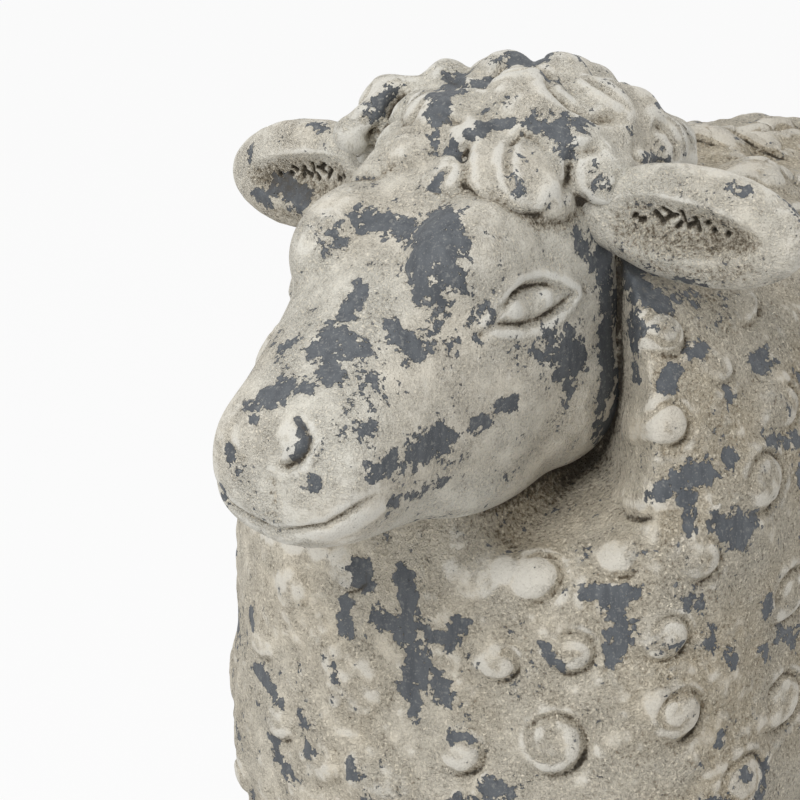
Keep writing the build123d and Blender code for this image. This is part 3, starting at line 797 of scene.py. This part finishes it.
def split(piece, name, where, facing):
    """Cuts a piece in two across a plane and closes both halves. The new half gets the name."""
    pick(piece)
    bpy.ops.object.duplicate()
    other = bpy.context.object
    other.name = other.data.name = name
    for half, inner in ((piece, True), (other, False)):
        pick(half)
        bpy.ops.object.mode_set(mode="EDIT")
        bpy.ops.mesh.select_all(action="SELECT")
        bpy.ops.mesh.bisect(plane_co=where, plane_no=facing, use_fill=True, clear_inner=inner,
                            clear_outer=not inner, threshold=1e-6)
        bpy.ops.object.mode_set(mode="OBJECT")
    return other


fleece_right = split(fleece, "fleece_right_front", (0, 0, 0), (1, 0, 0))
fleece.name = fleece.data.name = "fleece_left_front"
fleece_pieces = {"left": [fleece], "right": [fleece_right]}
for side, pieces in fleece_pieces.items():
    for part, where in CUTS_ACROSS.items():
        pieces.append(split(pieces[0], f"fleece_{side}_{part}", (0, where * MM, 0), (0, -1, 0)))
    for piece in pieces:
        pick(piece)
        bpy.ops.object.shade_smooth_by_angle(angle=math.radians(60))
        print(piece.name, len(piece.data.polygons), "faces")

# %% [markdown]
# The cap of curls is a mound of clay lumps. The lumps that show are pressed on where the picture has them,
# and the back of the head gets lumps of the same sizes. A single mound with carved lines would be quicker,
# but its outline would stay round. The spirals are cut after the lumps have melted together.

# %% The cap's blank
# Pixel x, pixel y, radius in pixels, how far it is sunk as a share of the radius
CAP_LUMPS = [
    (410, 148, 44, 0.5), (514, 176, 50, 0.42), (601, 182, 36, 0.4), (662, 138, 32, 0.4), (606, 96, 38, 0.5),
    (524, 94, 46, 0.55), (456, 72, 24, 0.3), (402, 98, 26, 0.35), (378, 118, 24, 0.35),
    (352, 146, 27, 0.35), (440, 110, 38, 0.6), (640, 110, 30, 0.4), (470, 130, 34, 0.7),
    (570, 132, 36, 0.65), (452, 172, 32, 0.6), (500, 68, 30, 0.4), (560, 72, 30, 0.4), (678, 160, 24, 0.4),
    (640, 175, 24, 0.5), (560, 205, 22, 0.6), (376, 172, 26, 0.7)]
CAP_OUTLINE = [
    (352, 132, 19), (374, 114, 20), (390, 94, 20), (412, 94, 18), (450, 78, 21), (484, 86, 24),
    (522, 88, 26), (562, 90, 24), (602, 100, 27), (638, 124, 26), (664, 142, 28), (678, 158, 18)]
CAP_MIDDLE = spot(-25, 0, 15)
CAP_RADII = (59, 59, 35)
LUMP_GROWTH, LUMP_FLATNESS, OUTLINE_DEPTH = 1.15, 0.9, 1.2
BACK_TRIES, BACK_RADII, BACK_GAP, BACK_SUNK = 200, (12, 16), 17, 0.84


def beside_middle(x, y):
    """The place of a pixel on a plane through the cap's middle that faces the camera."""
    aim = pixel_ray(x, y)
    return eye_point + aim * ((CAP_MIDDLE - eye_point).dot(toward) / aim.dot(toward))


def cap_blank():
    mound = ball("mound", CAP_MIDDLE, CAP_RADII)
    trees = [tree_of(mound), tree_of(head)]
    lumps, places = [mound], []
    for x, y, size, sunk in CAP_LUMPS:
        hits = [hit for hit in (seen_place(tree, x, y) for tree in trees) if hit]
        if hits:
            place, facing = min(hits, key=lambda hit: np.linalg.norm(hit[0] - EYE))
            radius = LUMP_GROWTH * size * PIXEL / MM
            places.append(place - facing * sunk * radius * MM)
            lumps.append(ball("lump", places[-1], (radius, radius, radius * LUMP_FLATNESS)))
    for x, y, size in CAP_OUTLINE:
        radius = size * PIXEL / MM
        places.append(np.array(beside_middle(x, y)))
        lumps.append(ball("lump", places[-1], (radius, radius * OUTLINE_DEPTH, radius)))
    draw = np.random.default_rng(11)
    for _ in range(BACK_TRIES):
        turn, lift = draw.uniform(0, FULL_TURN), draw.uniform(-0.15, 0.95)
        level = math.sqrt(1 - lift ** 2)
        out = np.array((math.cos(turn) * level, math.sin(turn) * level, lift))
        place = np.array(CAP_MIDDLE) + out * np.array(CAP_RADII) * BACK_SUNK * MM
        crowded = min(np.linalg.norm(np.array(places) - place, axis=1)) < BACK_GAP * MM
        if crowded or out @ TOWARD > 0.2 or out[1] < -0.55:
            continue
        places.append(place)
        radius = draw.uniform(*BACK_RADII)
        lumps.append(ball("lump", place, (radius, radius, radius * LUMP_FLATNESS)))
    print("lumps on the cap:", len(lumps))
    return skin("cap", lumps, voxel=2.2, rounds=9)


cap = cap_blank()
swells(cap, "cap_swells", 16, 2.4)

# %% The cap's curls
# Width and depth of each groove in mm, and its line of pixels
CAP_GROOVES = [
    (2.0, 2.6, [(473, 137), (466, 159), (464, 184), (477, 202), (498, 216), (520, 220), (541, 213),
                (552, 198)]),
    (1.5, 2.2, [(547, 154), (538, 139), (522, 132), (510, 143), (506, 159), (509, 177), (515, 193)]),
    (2.0, 2.8, [(552, 198), (564, 184), (570, 162), (574, 152), (592, 148), (602, 143)]),
    (2.0, 2.4, [(570, 162), (574, 191), (588, 206), (614, 209), (628, 196), (631, 175)]),
    (1.4, 1.6, [(588, 170), (592, 186), (606, 194), (619, 184), (616, 168)]),
    (2.2, 2.8, [(529, 70), (545, 75), (552, 88), (570, 105), (592, 119), (624, 117)]),
    (1.8, 2.0, [(586, 75), (606, 87), (621, 101), (627, 113)]),
    (1.8, 2.0, [(651, 122), (668, 130), (676, 144), (674, 160)]),
    (2.0, 2.2, [(632, 140), (635, 157), (660, 167), (688, 168)]),
    (2.4, 3.0, [(417, 76), (396, 100), (387, 123), (376, 136), (371, 153), (358, 178)]),
    (2.2, 2.4, [(364, 112), (372, 124), (362, 140)]),
    (2.2, 2.6, [(473, 137), (462, 150), (452, 168), (436, 184)]),
    (1.8, 1.8, [(430, 108), (447, 118), (462, 122), (473, 137)]),
    (1.8, 1.6, [(440, 70), (462, 84), (500, 84)])]
BESIDE_CUT, CUT_BROADER, CUT_DEEPER = 6, 1.25, 1.7
BACK_CURLS, BACK_CURL_GAP, CAP_SQUASH = 400, 19, 0.022


def carve_cap(piece):
    """Cuts the cap's grooves, raises both sides of each, and strews curls where the picture has none."""
    tree = tree_of(piece)
    grooves = [(width, depth, seen_line(tree, line)) for width, depth, line in CAP_GROOVES]
    points, normals = points_and_normals(piece)
    for width, depth, line in grooves:
        swell(points, normals, line, BESIDE_CUT * width, 0.6 * depth)
        groove(points, normals, line, CUT_BROADER * width, CUT_DEEPER * depth)
    strewn = np.random.default_rng(17)
    unseen = [k for k in strewn.choice(len(points), BACK_CURLS)
              if normals[k] @ TOWARD < 0.05 and normals[k, 2] > -0.2]
    places = []
    for k in unseen:
        if all(np.linalg.norm(points[k] - place) > BACK_CURL_GAP * MM for place in places):
            places.append(points[k].copy())
            curl(points, normals, places[-1], normals[k], strewn.uniform(9, 13), strewn.uniform(0.6, 1.2))
    points[:, 2] -= np.maximum(points[:, 2] - EARS.z, 0) * CAP_SQUASH
    move_points(piece, points)
    print("grooves on the cap:", len(grooves), "curls behind:", len(places))


carve_cap(cap)

# %% [markdown]
# An ear is a leaf that stands straight out, and on the real sheep it is cast solid. Its front is dished,
# sand has gathered in the dish, which gets painted shade as well, and the modeller has picked at it. Two
# thin sheets would do for a living ear. Here the dish is pressed into one thick skin, with its edge left
# soft.

# %% Ears
# Aside, half the height, half the thickness
EAR_RINGS = [(46, 12, 14), (58, 17, 13), (70, 21.5, 13), (84, 23.6, 13), (98, 23.6, 12.5), (110, 22, 11.5),
             (120, 18.5, 10), (128, 14, 8), (133, 9, 6), (135.6, 4, 3)]
EAR_SWEEP, EAR_DROP, EAR_RISE = 0.105, 0.07, -1.6
EAR_MIDDLE, EAR_BACK = 94, -8
DISH_MIDDLE, DISH_HALF, DISH_HEIGHT, DISH_DEPTH = 90, 34, 12, 7.6
SAND_SPREAD, SAND_DROP, SAND_HALF, SAND_AMOUNT = 1.3, 6, 17, 0.6
CUT_BREADTH, CUT_DEPTH = 0.9, 2.6
# Short cuts in the dish: aside and up at one end, aside and up at the other
CUTS = [
    (68, 1, 70, 2.5), (70, 0, 73, 1), (76, 5, 80, 0), (79, 6.5, 84, 3.5), (80, 2, 86, 4.5), (84, -1, 87, 2),
    (87, 7, 88, 1), (88, 0, 94, 3), (92, 5, 94, -1), (96, 2, 99, 4), (99, 0, 101, 1.5), (105, 1, 107, 0)]


def ear(name, side):
    """One ear. The leaf sweeps back and droops a little towards its tip."""
    def at(x, ahead=0.0, up=0.0):
        sweep, drop = EAR_SWEEP * (x - EAR_MIDDLE), EAR_DROP * (x - EAR_MIDDLE)
        return spot(EAR_BACK - sweep + ahead, side * x, EAR_RISE - drop + up)

    rings = [(at(x), high * MM, thick * MM) for x, high, thick in EAR_RINGS]
    piece = skin(name, [ring_form("leaf", rings, "side", squareness=2.15)], voxel=1.5, rounds=5)
    points, normals = points_and_normals(piece)
    local = (points - np.array(spot(0, 0, 0))) / MM
    out = np.abs(local[:, 0])
    along = (out - DISH_MIDDLE) / DISH_HALF
    up = local[:, 2] - EAR_RISE + EAR_DROP * (out - EAR_MIDDLE) + 0.5
    high = up / (DISH_HEIGHT * np.clip(1 - 0.25 * along, 0.7, 1.2))
    inside = np.clip(1 - np.abs(along) ** 2.2 - np.abs(high) ** 2, 0, 1)
    front = normals[:, 1] < 0.15
    points[:, 1] += np.where(front, DISH_DEPTH * MM * inside ** 1.15, 0)
    move_points(piece, points)
    sanded = np.clip(SAND_SPREAD - np.abs(along) ** 3 - np.abs((up + SAND_DROP) / SAND_HALF) ** 3, 0, 1)
    put_attribute(piece, "dished", np.where(front, np.maximum(inside, sanded * SAND_AMOUNT), 0))
    use(piece, "SMOOTH", factor=0.5, iterations=8)
    tree = tree_of(piece)
    points, normals = points_and_normals(piece)
    for x0, up0, x1, up1 in CUTS:
        ends = [tree.ray_cast(at(x, 40, rise), Vector((0, 1, 0)))[0] for x, rise in ((x0, up0), (x1, up1))]
        if all(ends):
            groove(points, normals, np.array(ends), CUT_BREADTH, CUT_DEPTH)
    move_points(piece, points)
    return piece


left_ear, right_ear = ear("left_ear", 1), ear("right_ear", -1)

# %% [markdown]
# The legs and the tail are out of the picture, so they are a guess. Garden sheep of this kind stand on
# short plain legs with cloven hooves, and the tail hangs against the rump like one long lock. The legs
# could be lathed, but a leg is deeper than it is wide, so they are rings again, each with its own two half
# sizes.

# %% Legs
# Height, half the width, half the depth
LEG_RINGS = [(0, 20, 26), (3, 22, 28), (26, 21, 26.5), (30, 18.5, 22), (36, 15.5, 18), (60, 15.5, 17.5),
             (76, 18, 20.5), (90, 18, 21), (112, 22, 27), (134, 26, 32), (152, 26.5, 32.5)]
CLEFT = [(0, -30, 2), (0, -30, 14), (0, -28, 27)]
CORONET = (20.5, 26, 29)        # half width, half depth and height of the ring above the hoof
LEAN = ((0, 40, 80, 152), (-1, 0, -1, 0))
LEG_ASIDE, LEG_PLACES = 61, {"front": -135, "rear": 169}
SOLE = 0.8


def leg(name, side, y):
    def at(x, ahead, z):
        return Vector((side * LEG_ASIDE + x, y + ahead, z)) * MM

    lean = np.interp([z for z, _, _ in LEG_RINGS], *LEAN)
    rings = [(at(0, shift, z), wide * MM, deep * MM) for shift, (z, wide, deep) in zip(lean, LEG_RINGS)]
    piece = skin(name, [ring_form("limb", rings, "up", squareness=2.4)], voxel=2.0, rounds=3)
    points, normals = points_and_normals(piece)
    groove(points, normals, np.array([at(*place) for place in CLEFT]), 2.2, 5, taper=False)
    wide, deep, high = CORONET
    turns = np.linspace(0, FULL_TURN, 40)
    coronet = np.array([at(wide * math.cos(t), deep * math.sin(t), high) for t in turns])
    groove(points, normals, coronet, 1.6, 1.2, taper=False)
    points[:, 2] = np.where(points[:, 2] < SOLE * MM, 0, points[:, 2])
    move_points(piece, points)
    return piece


legs = {f"{end}_{side}_leg": leg(f"{end}_{side}_leg", 1 if side == "left" else -1, y)
        for end, y in LEG_PLACES.items() for side in ("left", "right")}

# %% Tail
LOCK_MIDDLE, LOCK_RADII = (0, 264, 362), (20, 18, 44)
# Aside, height and radius
KNOTS = [(-7, 392, 12), (8, 382, 13), (-6, 362, 14), (8, 346, 13), (-3, 330, 12)]
TAIL_CURLS = [(-8, 388, 9), (8, 376, 10), (-6, 356, 10), (6, 338, 9)]
KNOTS_BACK, KNOT_DEPTH, CURLS_BACK = 270, 11, 279


def tail_piece():
    lock = ball("lock", Vector(LOCK_MIDDLE) * MM, LOCK_RADII)
    knots = [ball("knot", Vector((x, KNOTS_BACK, z)) * MM, (r, KNOT_DEPTH, r)) for x, z, r in KNOTS]
    piece = skin("tail", [lock, *knots], voxel=1.8, rounds=4)
    points, normals = points_and_normals(piece)
    for x, z, r in TAIL_CURLS:
        curl(points, normals, np.array((x, CURLS_BACK, z)) * MM, np.array((0, 1, 0.1)), r)
    move_points(piece, points)
    return piece


tail = tail_piece()

# %% [markdown]
# The materials are worked out in the program's nodes. A value in a material is handled like a number here,
# so a rule such as "the mask times a half" is written as plain arithmetic, and each sum adds one node.

# %% A small kit for materials
class Value:
    """One socket of a material, with arithmetic."""

    def __init__(self, finish, socket):
        self.finish, self.socket = finish, socket

    def math(self, operation, *terms):
        return self.finish.node("ShaderNodeMath", {"operation": operation}, dict(enumerate(terms)))

    def __add__(self, other):
        return self.math("ADD", self, other)

    def __radd__(self, other):
        return self.math("ADD", other, self)

    def __sub__(self, other):
        return self.math("SUBTRACT", self, other)

    def __rsub__(self, other):
        return self.math("SUBTRACT", other, self)

    def __mul__(self, other):
        return self.math("MULTIPLY", self, other)

    def __rmul__(self, other):
        return self.math("MULTIPLY", other, self)

    def most(self, other):
        return self.math("MAXIMUM", self, other)

    def ramp(self, low, high):
        """Nought below low, one above high, and a soft step between."""
        return self.finish.node("ShaderNodeMapRange", {"interpolation_type": "SMOOTHSTEP"},
                                {"Value": self, "From Min": low, "From Max": high})


class Finish:
    """A material, or the sky, under construction."""

    def __init__(self, name, kind="materials", surface="Principled BSDF"):
        self.block = getattr(bpy.data, kind).new(name)
        self.block.use_nodes = True
        self.tree = self.block.node_tree
        self.surface = self.tree.nodes[surface]

    def feed(self, socket, value):
        if isinstance(value, Value):
            self.tree.links.new(value.socket, socket)
        else:
            socket.default_value = value

    def node(self, kind, settings, inputs, output=0):
        """Adds a node, sets it up, feeds its inputs and gives one output."""
        made = self.tree.nodes.new(kind)
        for key, value in settings.items():
            setattr(made, key, value)
        for key, value in inputs.items():
            self.feed(made.inputs[key], value)
        return Value(self, made.outputs[output])

    def mix(self, factor, first, second):
        """A colour between two colours."""
        return self.node("ShaderNodeMix", {"data_type": "RGBA"}, {0: factor, 6: first, 7: second}, output=2)

    def noise(self, place, scale, detail=2.0, rough=0.55):
        """A soft cloud pattern, with about so many spots to the metre."""
        return self.node("ShaderNodeTexNoise", {},
                         {"Vector": place, "Scale": scale, "Detail": detail, "Roughness": rough})

    def attribute(self, name):
        return self.node("ShaderNodeAttribute", {"attribute_name": name}, {}, output="Fac")

    def relief(self, height, distance, under=None):
        """A bump from a height of nought to one, and the distance in metres that one stands for."""
        inputs = {"Height": height, "Distance": distance, "Strength": 1.0}
        if under:
            inputs["Normal"] = under
        return self.node("ShaderNodeBump", {}, inputs)

    def done(self, **inputs):
        for key, value in inputs.items():
            self.feed(self.surface.inputs[key.replace("_", " ")], value)
        print(self.block.name, "nodes:", len(self.tree.nodes))
        return self.block


def colour(red, green, blue):
    """A colour as it is read off a screen, from 0 to 255, made linear."""
    shares = [c / 255 for c in (red, green, blue)]
    return (*[s / 12.92 if s < 0.04045 else ((s + 0.055) / 1.055) ** 2.4 for s in shares], 1)


# %% [markdown]
# The main finish is sandy lime wash over grey cement. The wash breaks up where the marks say bare, and two
# noises make its edge ragged: one for the islands, one for the crumbs. It has a grain of its own, with
# painted shadows between the grains. Rain leaves dirt in the grooves, the deepest recesses get painted shade,
# hands polish the crests, and the right breast gets painted light. A photograph wrapped round the figure
# would be quicker, but it would smear on the sides that no camera saw.

# %% The weathered coat
SPOTS = {"islands": 75, "flakes": 190, "crumbs": 520, "broad": 17, "dust": 1500, "streaks": 260}
STREAK_STRETCH = (1, 1, 0.22)
SHADES = {
    "painted_light": colour(226, 219, 203), "polished": colour(205, 205, 201), "dirt": colour(156, 138, 108),
    "grain": colour(240, 230, 209), "gap": colour(98, 82, 58), "speck": colour(120, 112, 96),
    "cement": colour(71, 75, 80), "pale cement": colour(89, 93, 97), "lime": colour(150, 149, 144),
    "lime speck": colour(170, 170, 166), "soot": colour(66, 62, 55), "painted_crevice_shade": colour(54, 47, 36)}
WASH_HEIGHT, WEAR_HEIGHT = 0.5, 0.35


def weathered_coat(name, pale, deep, grain_size, grit_level, grain_height):
    finish = Finish(name)
    place = finish.node("ShaderNodeTexCoord", {}, {}, output="Object")
    islands = finish.noise(place, SPOTS["islands"], 3.0, 0.6)
    flakes = finish.noise(place, SPOTS["flakes"], 3.0, 0.65)
    crumbs = finish.noise(place, SPOTS["crumbs"], 3.0, 0.65)
    broad = finish.noise(place, SPOTS["broad"])
    dust = finish.noise(place, SPOTS["dust"], 2.0, 0.6)
    cells = finish.node("ShaderNodeTexVoronoi", {},
                        {"Vector": place, "Scale": 1 / (grain_size * MM), "Randomness": 1.0})
    pebbles = finish.noise(place, 0.9 / (grain_size * MM), 3.0, 0.7).ramp(0.34, 0.68)
    grains = (1 - cells * 1.25) * 0.35 + pebbles * 0.65
    recess = finish.attribute("recess")
    painted_light = finish.attribute("painted_light")
    dirt = (recess * 0.8 + (crumbs - 0.5) * 1.6).ramp(0.15, 1.1)
    crest = (0 - recess * 1.5 + (broad - 0.5) * 1.2 + (flakes - 0.5) * 1.6).ramp(0.1, 1.0)
    sandy = (grit_level + (islands - 0.5) * 1.4 + dirt * 0.6 - crest * 0.55 - painted_light * 0.25).ramp(0.0, 0.9)
    field = finish.attribute("bare") + (islands - 0.5) * 1.8 + (flakes - 0.5) * 1.9 + (crumbs - 0.5) * 1.6
    bare = field.ramp(-0.02, 0.025)
    thin = field.ramp(-0.30, 0.0)

    sand = finish.mix(broad.ramp(0.35, 0.65), colour(*pale), colour(*deep))
    # Painted light: the right breast is mixed towards a paler colour
    sand = finish.mix(painted_light * 0.6, sand, SHADES["painted_light"])
    sand = finish.mix(crest * 0.5, sand, SHADES["polished"])
    sand = finish.mix(dirt * 0.75 - painted_light * 0.2, sand, SHADES["dirt"])
    sand = finish.mix(sandy * grains.ramp(0.42, 0.78) * 0.9, sand, SHADES["grain"])
    # Painted shadow: the gaps between the grains are darkened
    between = (0 - grains + 0.20 + (crumbs - 0.5) * 0.9 + dirt * 0.08).ramp(-0.10, 0.20)
    sand = finish.mix(between * (0.10 + sandy * 0.58), sand, SHADES["gap"])
    sand = finish.mix((dust + thin * 0.03).ramp(0.58, 0.68) * 0.3, sand, SHADES["speck"])

    drawn_out = finish.node("ShaderNodeMapping", {}, {"Vector": place, "Scale": STREAK_STRETCH})
    streaks = finish.noise(drawn_out, SPOTS["streaks"], 3.0, 0.6)
    cement = finish.mix(streaks.ramp(0.3, 0.7), SHADES["cement"], SHADES["pale cement"])
    cement = finish.mix(crumbs.ramp(0.57, 0.66) * 0.4, cement, SHADES["lime"])
    cement = finish.mix(dust.ramp(0.62, 0.70) * 0.4, cement, SHADES["lime speck"])
    cement = finish.mix(dirt * 0.6, cement, SHADES["soot"])
    skin_colour = finish.mix(bare, sand, cement)
    # Painted shade: the deepest recesses, and the line beside the next piece, are darkened nearly to black
    painted_crevice_shade = (recess * 0.9 + (crumbs - 0.5) * 1.2).ramp(0.62, 1.35)
    skin_colour = finish.mix(painted_crevice_shade * 0.85, skin_colour, SHADES["painted_crevice_shade"])

    coated = 1 - bare
    wash = finish.relief(coated, WASH_HEIGHT * MM)
    grain = finish.relief(coated * grains * (0.15 + sandy * 0.85), grain_height * MM, under=wash)
    worn = finish.relief(dust * 0.5 + streaks * bare * 0.3 + flakes * 0.8, WEAR_HEIGHT * MM, under=grain)
    return finish.done(Base_Color=skin_colour, Roughness=0.62 + coated * 0.3, Normal=worn)


smooth_coat = weathered_coat("pale_lime_wash", (222, 218, 206), (218, 211, 196), 0.95, 0.5, 1.7)
fleece_coat = weathered_coat("sandy_lime_wash", (217, 209, 192), (209, 196, 172), 1.3, 0.75, 2.6)

# %% [markdown]
# Inside are mortar and rolled bars. Nobody sees them, but whoever takes the figure apart does, so they get
# a plain finish each, one cloud pattern between two colours, rather than none.

# %% The finishes inside
def plain_finish(name, dark, pale, size, roughness, metallic=0.0):
    finish = Finish(name)
    place = finish.node("ShaderNodeTexCoord", {}, {}, output="Object")
    patches = finish.noise(place, 1 / (size * MM), 3.0)
    shade = finish.mix(patches.ramp(0.35, 0.65), colour(*dark), colour(*pale))
    return finish.done(Base_Color=shade, Roughness=roughness + patches * 0.15, Metallic=metallic,
                       Normal=finish.relief(patches, 0.2 * MM))


mortar = plain_finish("grey_mortar", (112, 110, 105), (146, 143, 136), 6, 0.8)
bar_steel = plain_finish("rolled_steel", (74, 68, 64), (124, 110, 98), 4, 0.45, metallic=1.0)


# %% Putting the finishes on
def wear(piece, material):
    piece.data.materials.clear()
    piece.data.materials.append(material)


# Which piece sand and painted shade gather beside, and each piece's patches, strewn patches, mirroring and
# rounds of smoothing
HAIRLINE = {cap: head, head: cap}
DRESS = [
    (head, HEAD_PATCHES, 8, True, 14), (cap, CAP_PATCHES, 40, False, 10),
    (left_ear, LEFT_EAR_PATCHES, 3, False, 20), (right_ear, RIGHT_EAR_PATCHES, 3, False, 20),
    (tail, [], 7, False, 12), *[(piece, [], 6, False, 12) for piece in legs.values()]]
for number, (piece, patches, strewn, mirror, rounds) in enumerate(DRESS):
    mark_bare(piece, patches, strewn, mirror, seed=20 + number)
    depth = mark_recess(piece, rounds, beside=HAIRLINE.get(piece), reach=5)
    wear(piece, smooth_coat)
    print(piece.name, "recess from", round(float(depth.min()), 2), "to", round(float(depth.max()), 2), "mm")

for piece in fleece_pieces["left"] + fleece_pieces["right"]:
    wear(piece, fleece_coat)
for name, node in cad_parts.items():
    if name in ("seam_band", "head_plug") or name.endswith("mortar_bed"):
        wear(node, mortar)
    elif name.endswith(("rod", "bar", "pin")):
        wear(node, bar_steel)
    else:
        wear(node, smooth_coat)

# %% Hanging the pieces on the root, and hiding the parts of the model they stand for
def stands_for(piece, *nodes):
    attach(piece, "root")
    if nodes:
        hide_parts(*nodes)


singles = {"head_shell": head, "wool_cap": cap, "left_ear": left_ear, "right_ear": right_ear, "tail": tail}
for node, piece in {**singles, **legs}.items():
    stands_for(piece, node)
for side, pieces in fleece_pieces.items():
    stands_for(pieces[0], f"fleece_shell_{side}")
    for piece in pieces[1:]:
        stands_for(piece)

# %% [markdown]
# The studio is a white floor under a pale sky and one large soft lamp, high at the camera's left. The light
# adds up to one on a surface that faces the lamp, so colours come out as they are written. To the camera
# the floor and the sky are white, but the floor keeps a part of its own shading, and with it the figure's
# shadow.

# %% The studio
SKY, LAMP_POWER, LAMP_SIZE, LAMP_PLACE = 0.76, 16.5, 0.8, (-0.04, -1.52, 1.7)
SHARE_OF_SHADE = 0.12
WHITE, FLOOR_GREY = (1, 1, 1, 1), (0.8, 0.8, 0.8, 1)
FLOOR_SIZE = 60


def to_camera(finish):
    """One for rays that see the surface from the camera, in a mirror or through glass."""
    rays = [finish.node("ShaderNodeLightPath", {}, {}, output=f"Is {kind} Ray")
            for kind in ("Camera", "Glossy", "Transmission")]
    return rays[0].most(rays[1]).most(rays[2])


def floor_material():
    finish = Finish("studio_floor")
    white = finish.node("ShaderNodeEmission", {}, {"Color": WHITE, "Strength": 1.0})
    shaded = Value(finish, finish.surface.outputs[0])
    whitened = to_camera(finish) * (1 - SHARE_OF_SHADE)
    shown = finish.node("ShaderNodeMixShader", {}, {0: whitened, 1: shaded, 2: white})
    finish.feed(finish.tree.nodes["Material Output"].inputs["Surface"], shown)
    return finish.done(Base_Color=FLOOR_GREY, Roughness=0.9)


pick()
bpy.ops.mesh.primitive_plane_add(size=FLOOR_SIZE, location=(0, 0, 0))
floor = bpy.context.object
floor.name = "studio_floor"
wear(floor, floor_material())

sky = Finish("studio_sky", "worlds", "Background")
bpy.context.scene.world = sky.done(Color=WHITE, Strength=SKY + to_camera(sky) * (1 - SKY))

bpy.ops.object.light_add(type="AREA", location=LAMP_PLACE)
lamp = bpy.context.object
lamp.name = "soft_lamp"
lamp.data.energy = LAMP_POWER
lamp.data.size = LAMP_SIZE
lamp.rotation_euler = (EARS - lamp.location).to_track_quat("-Z", "Y").to_euler()
bpy.context.scene.view_settings.view_transform = "Standard"
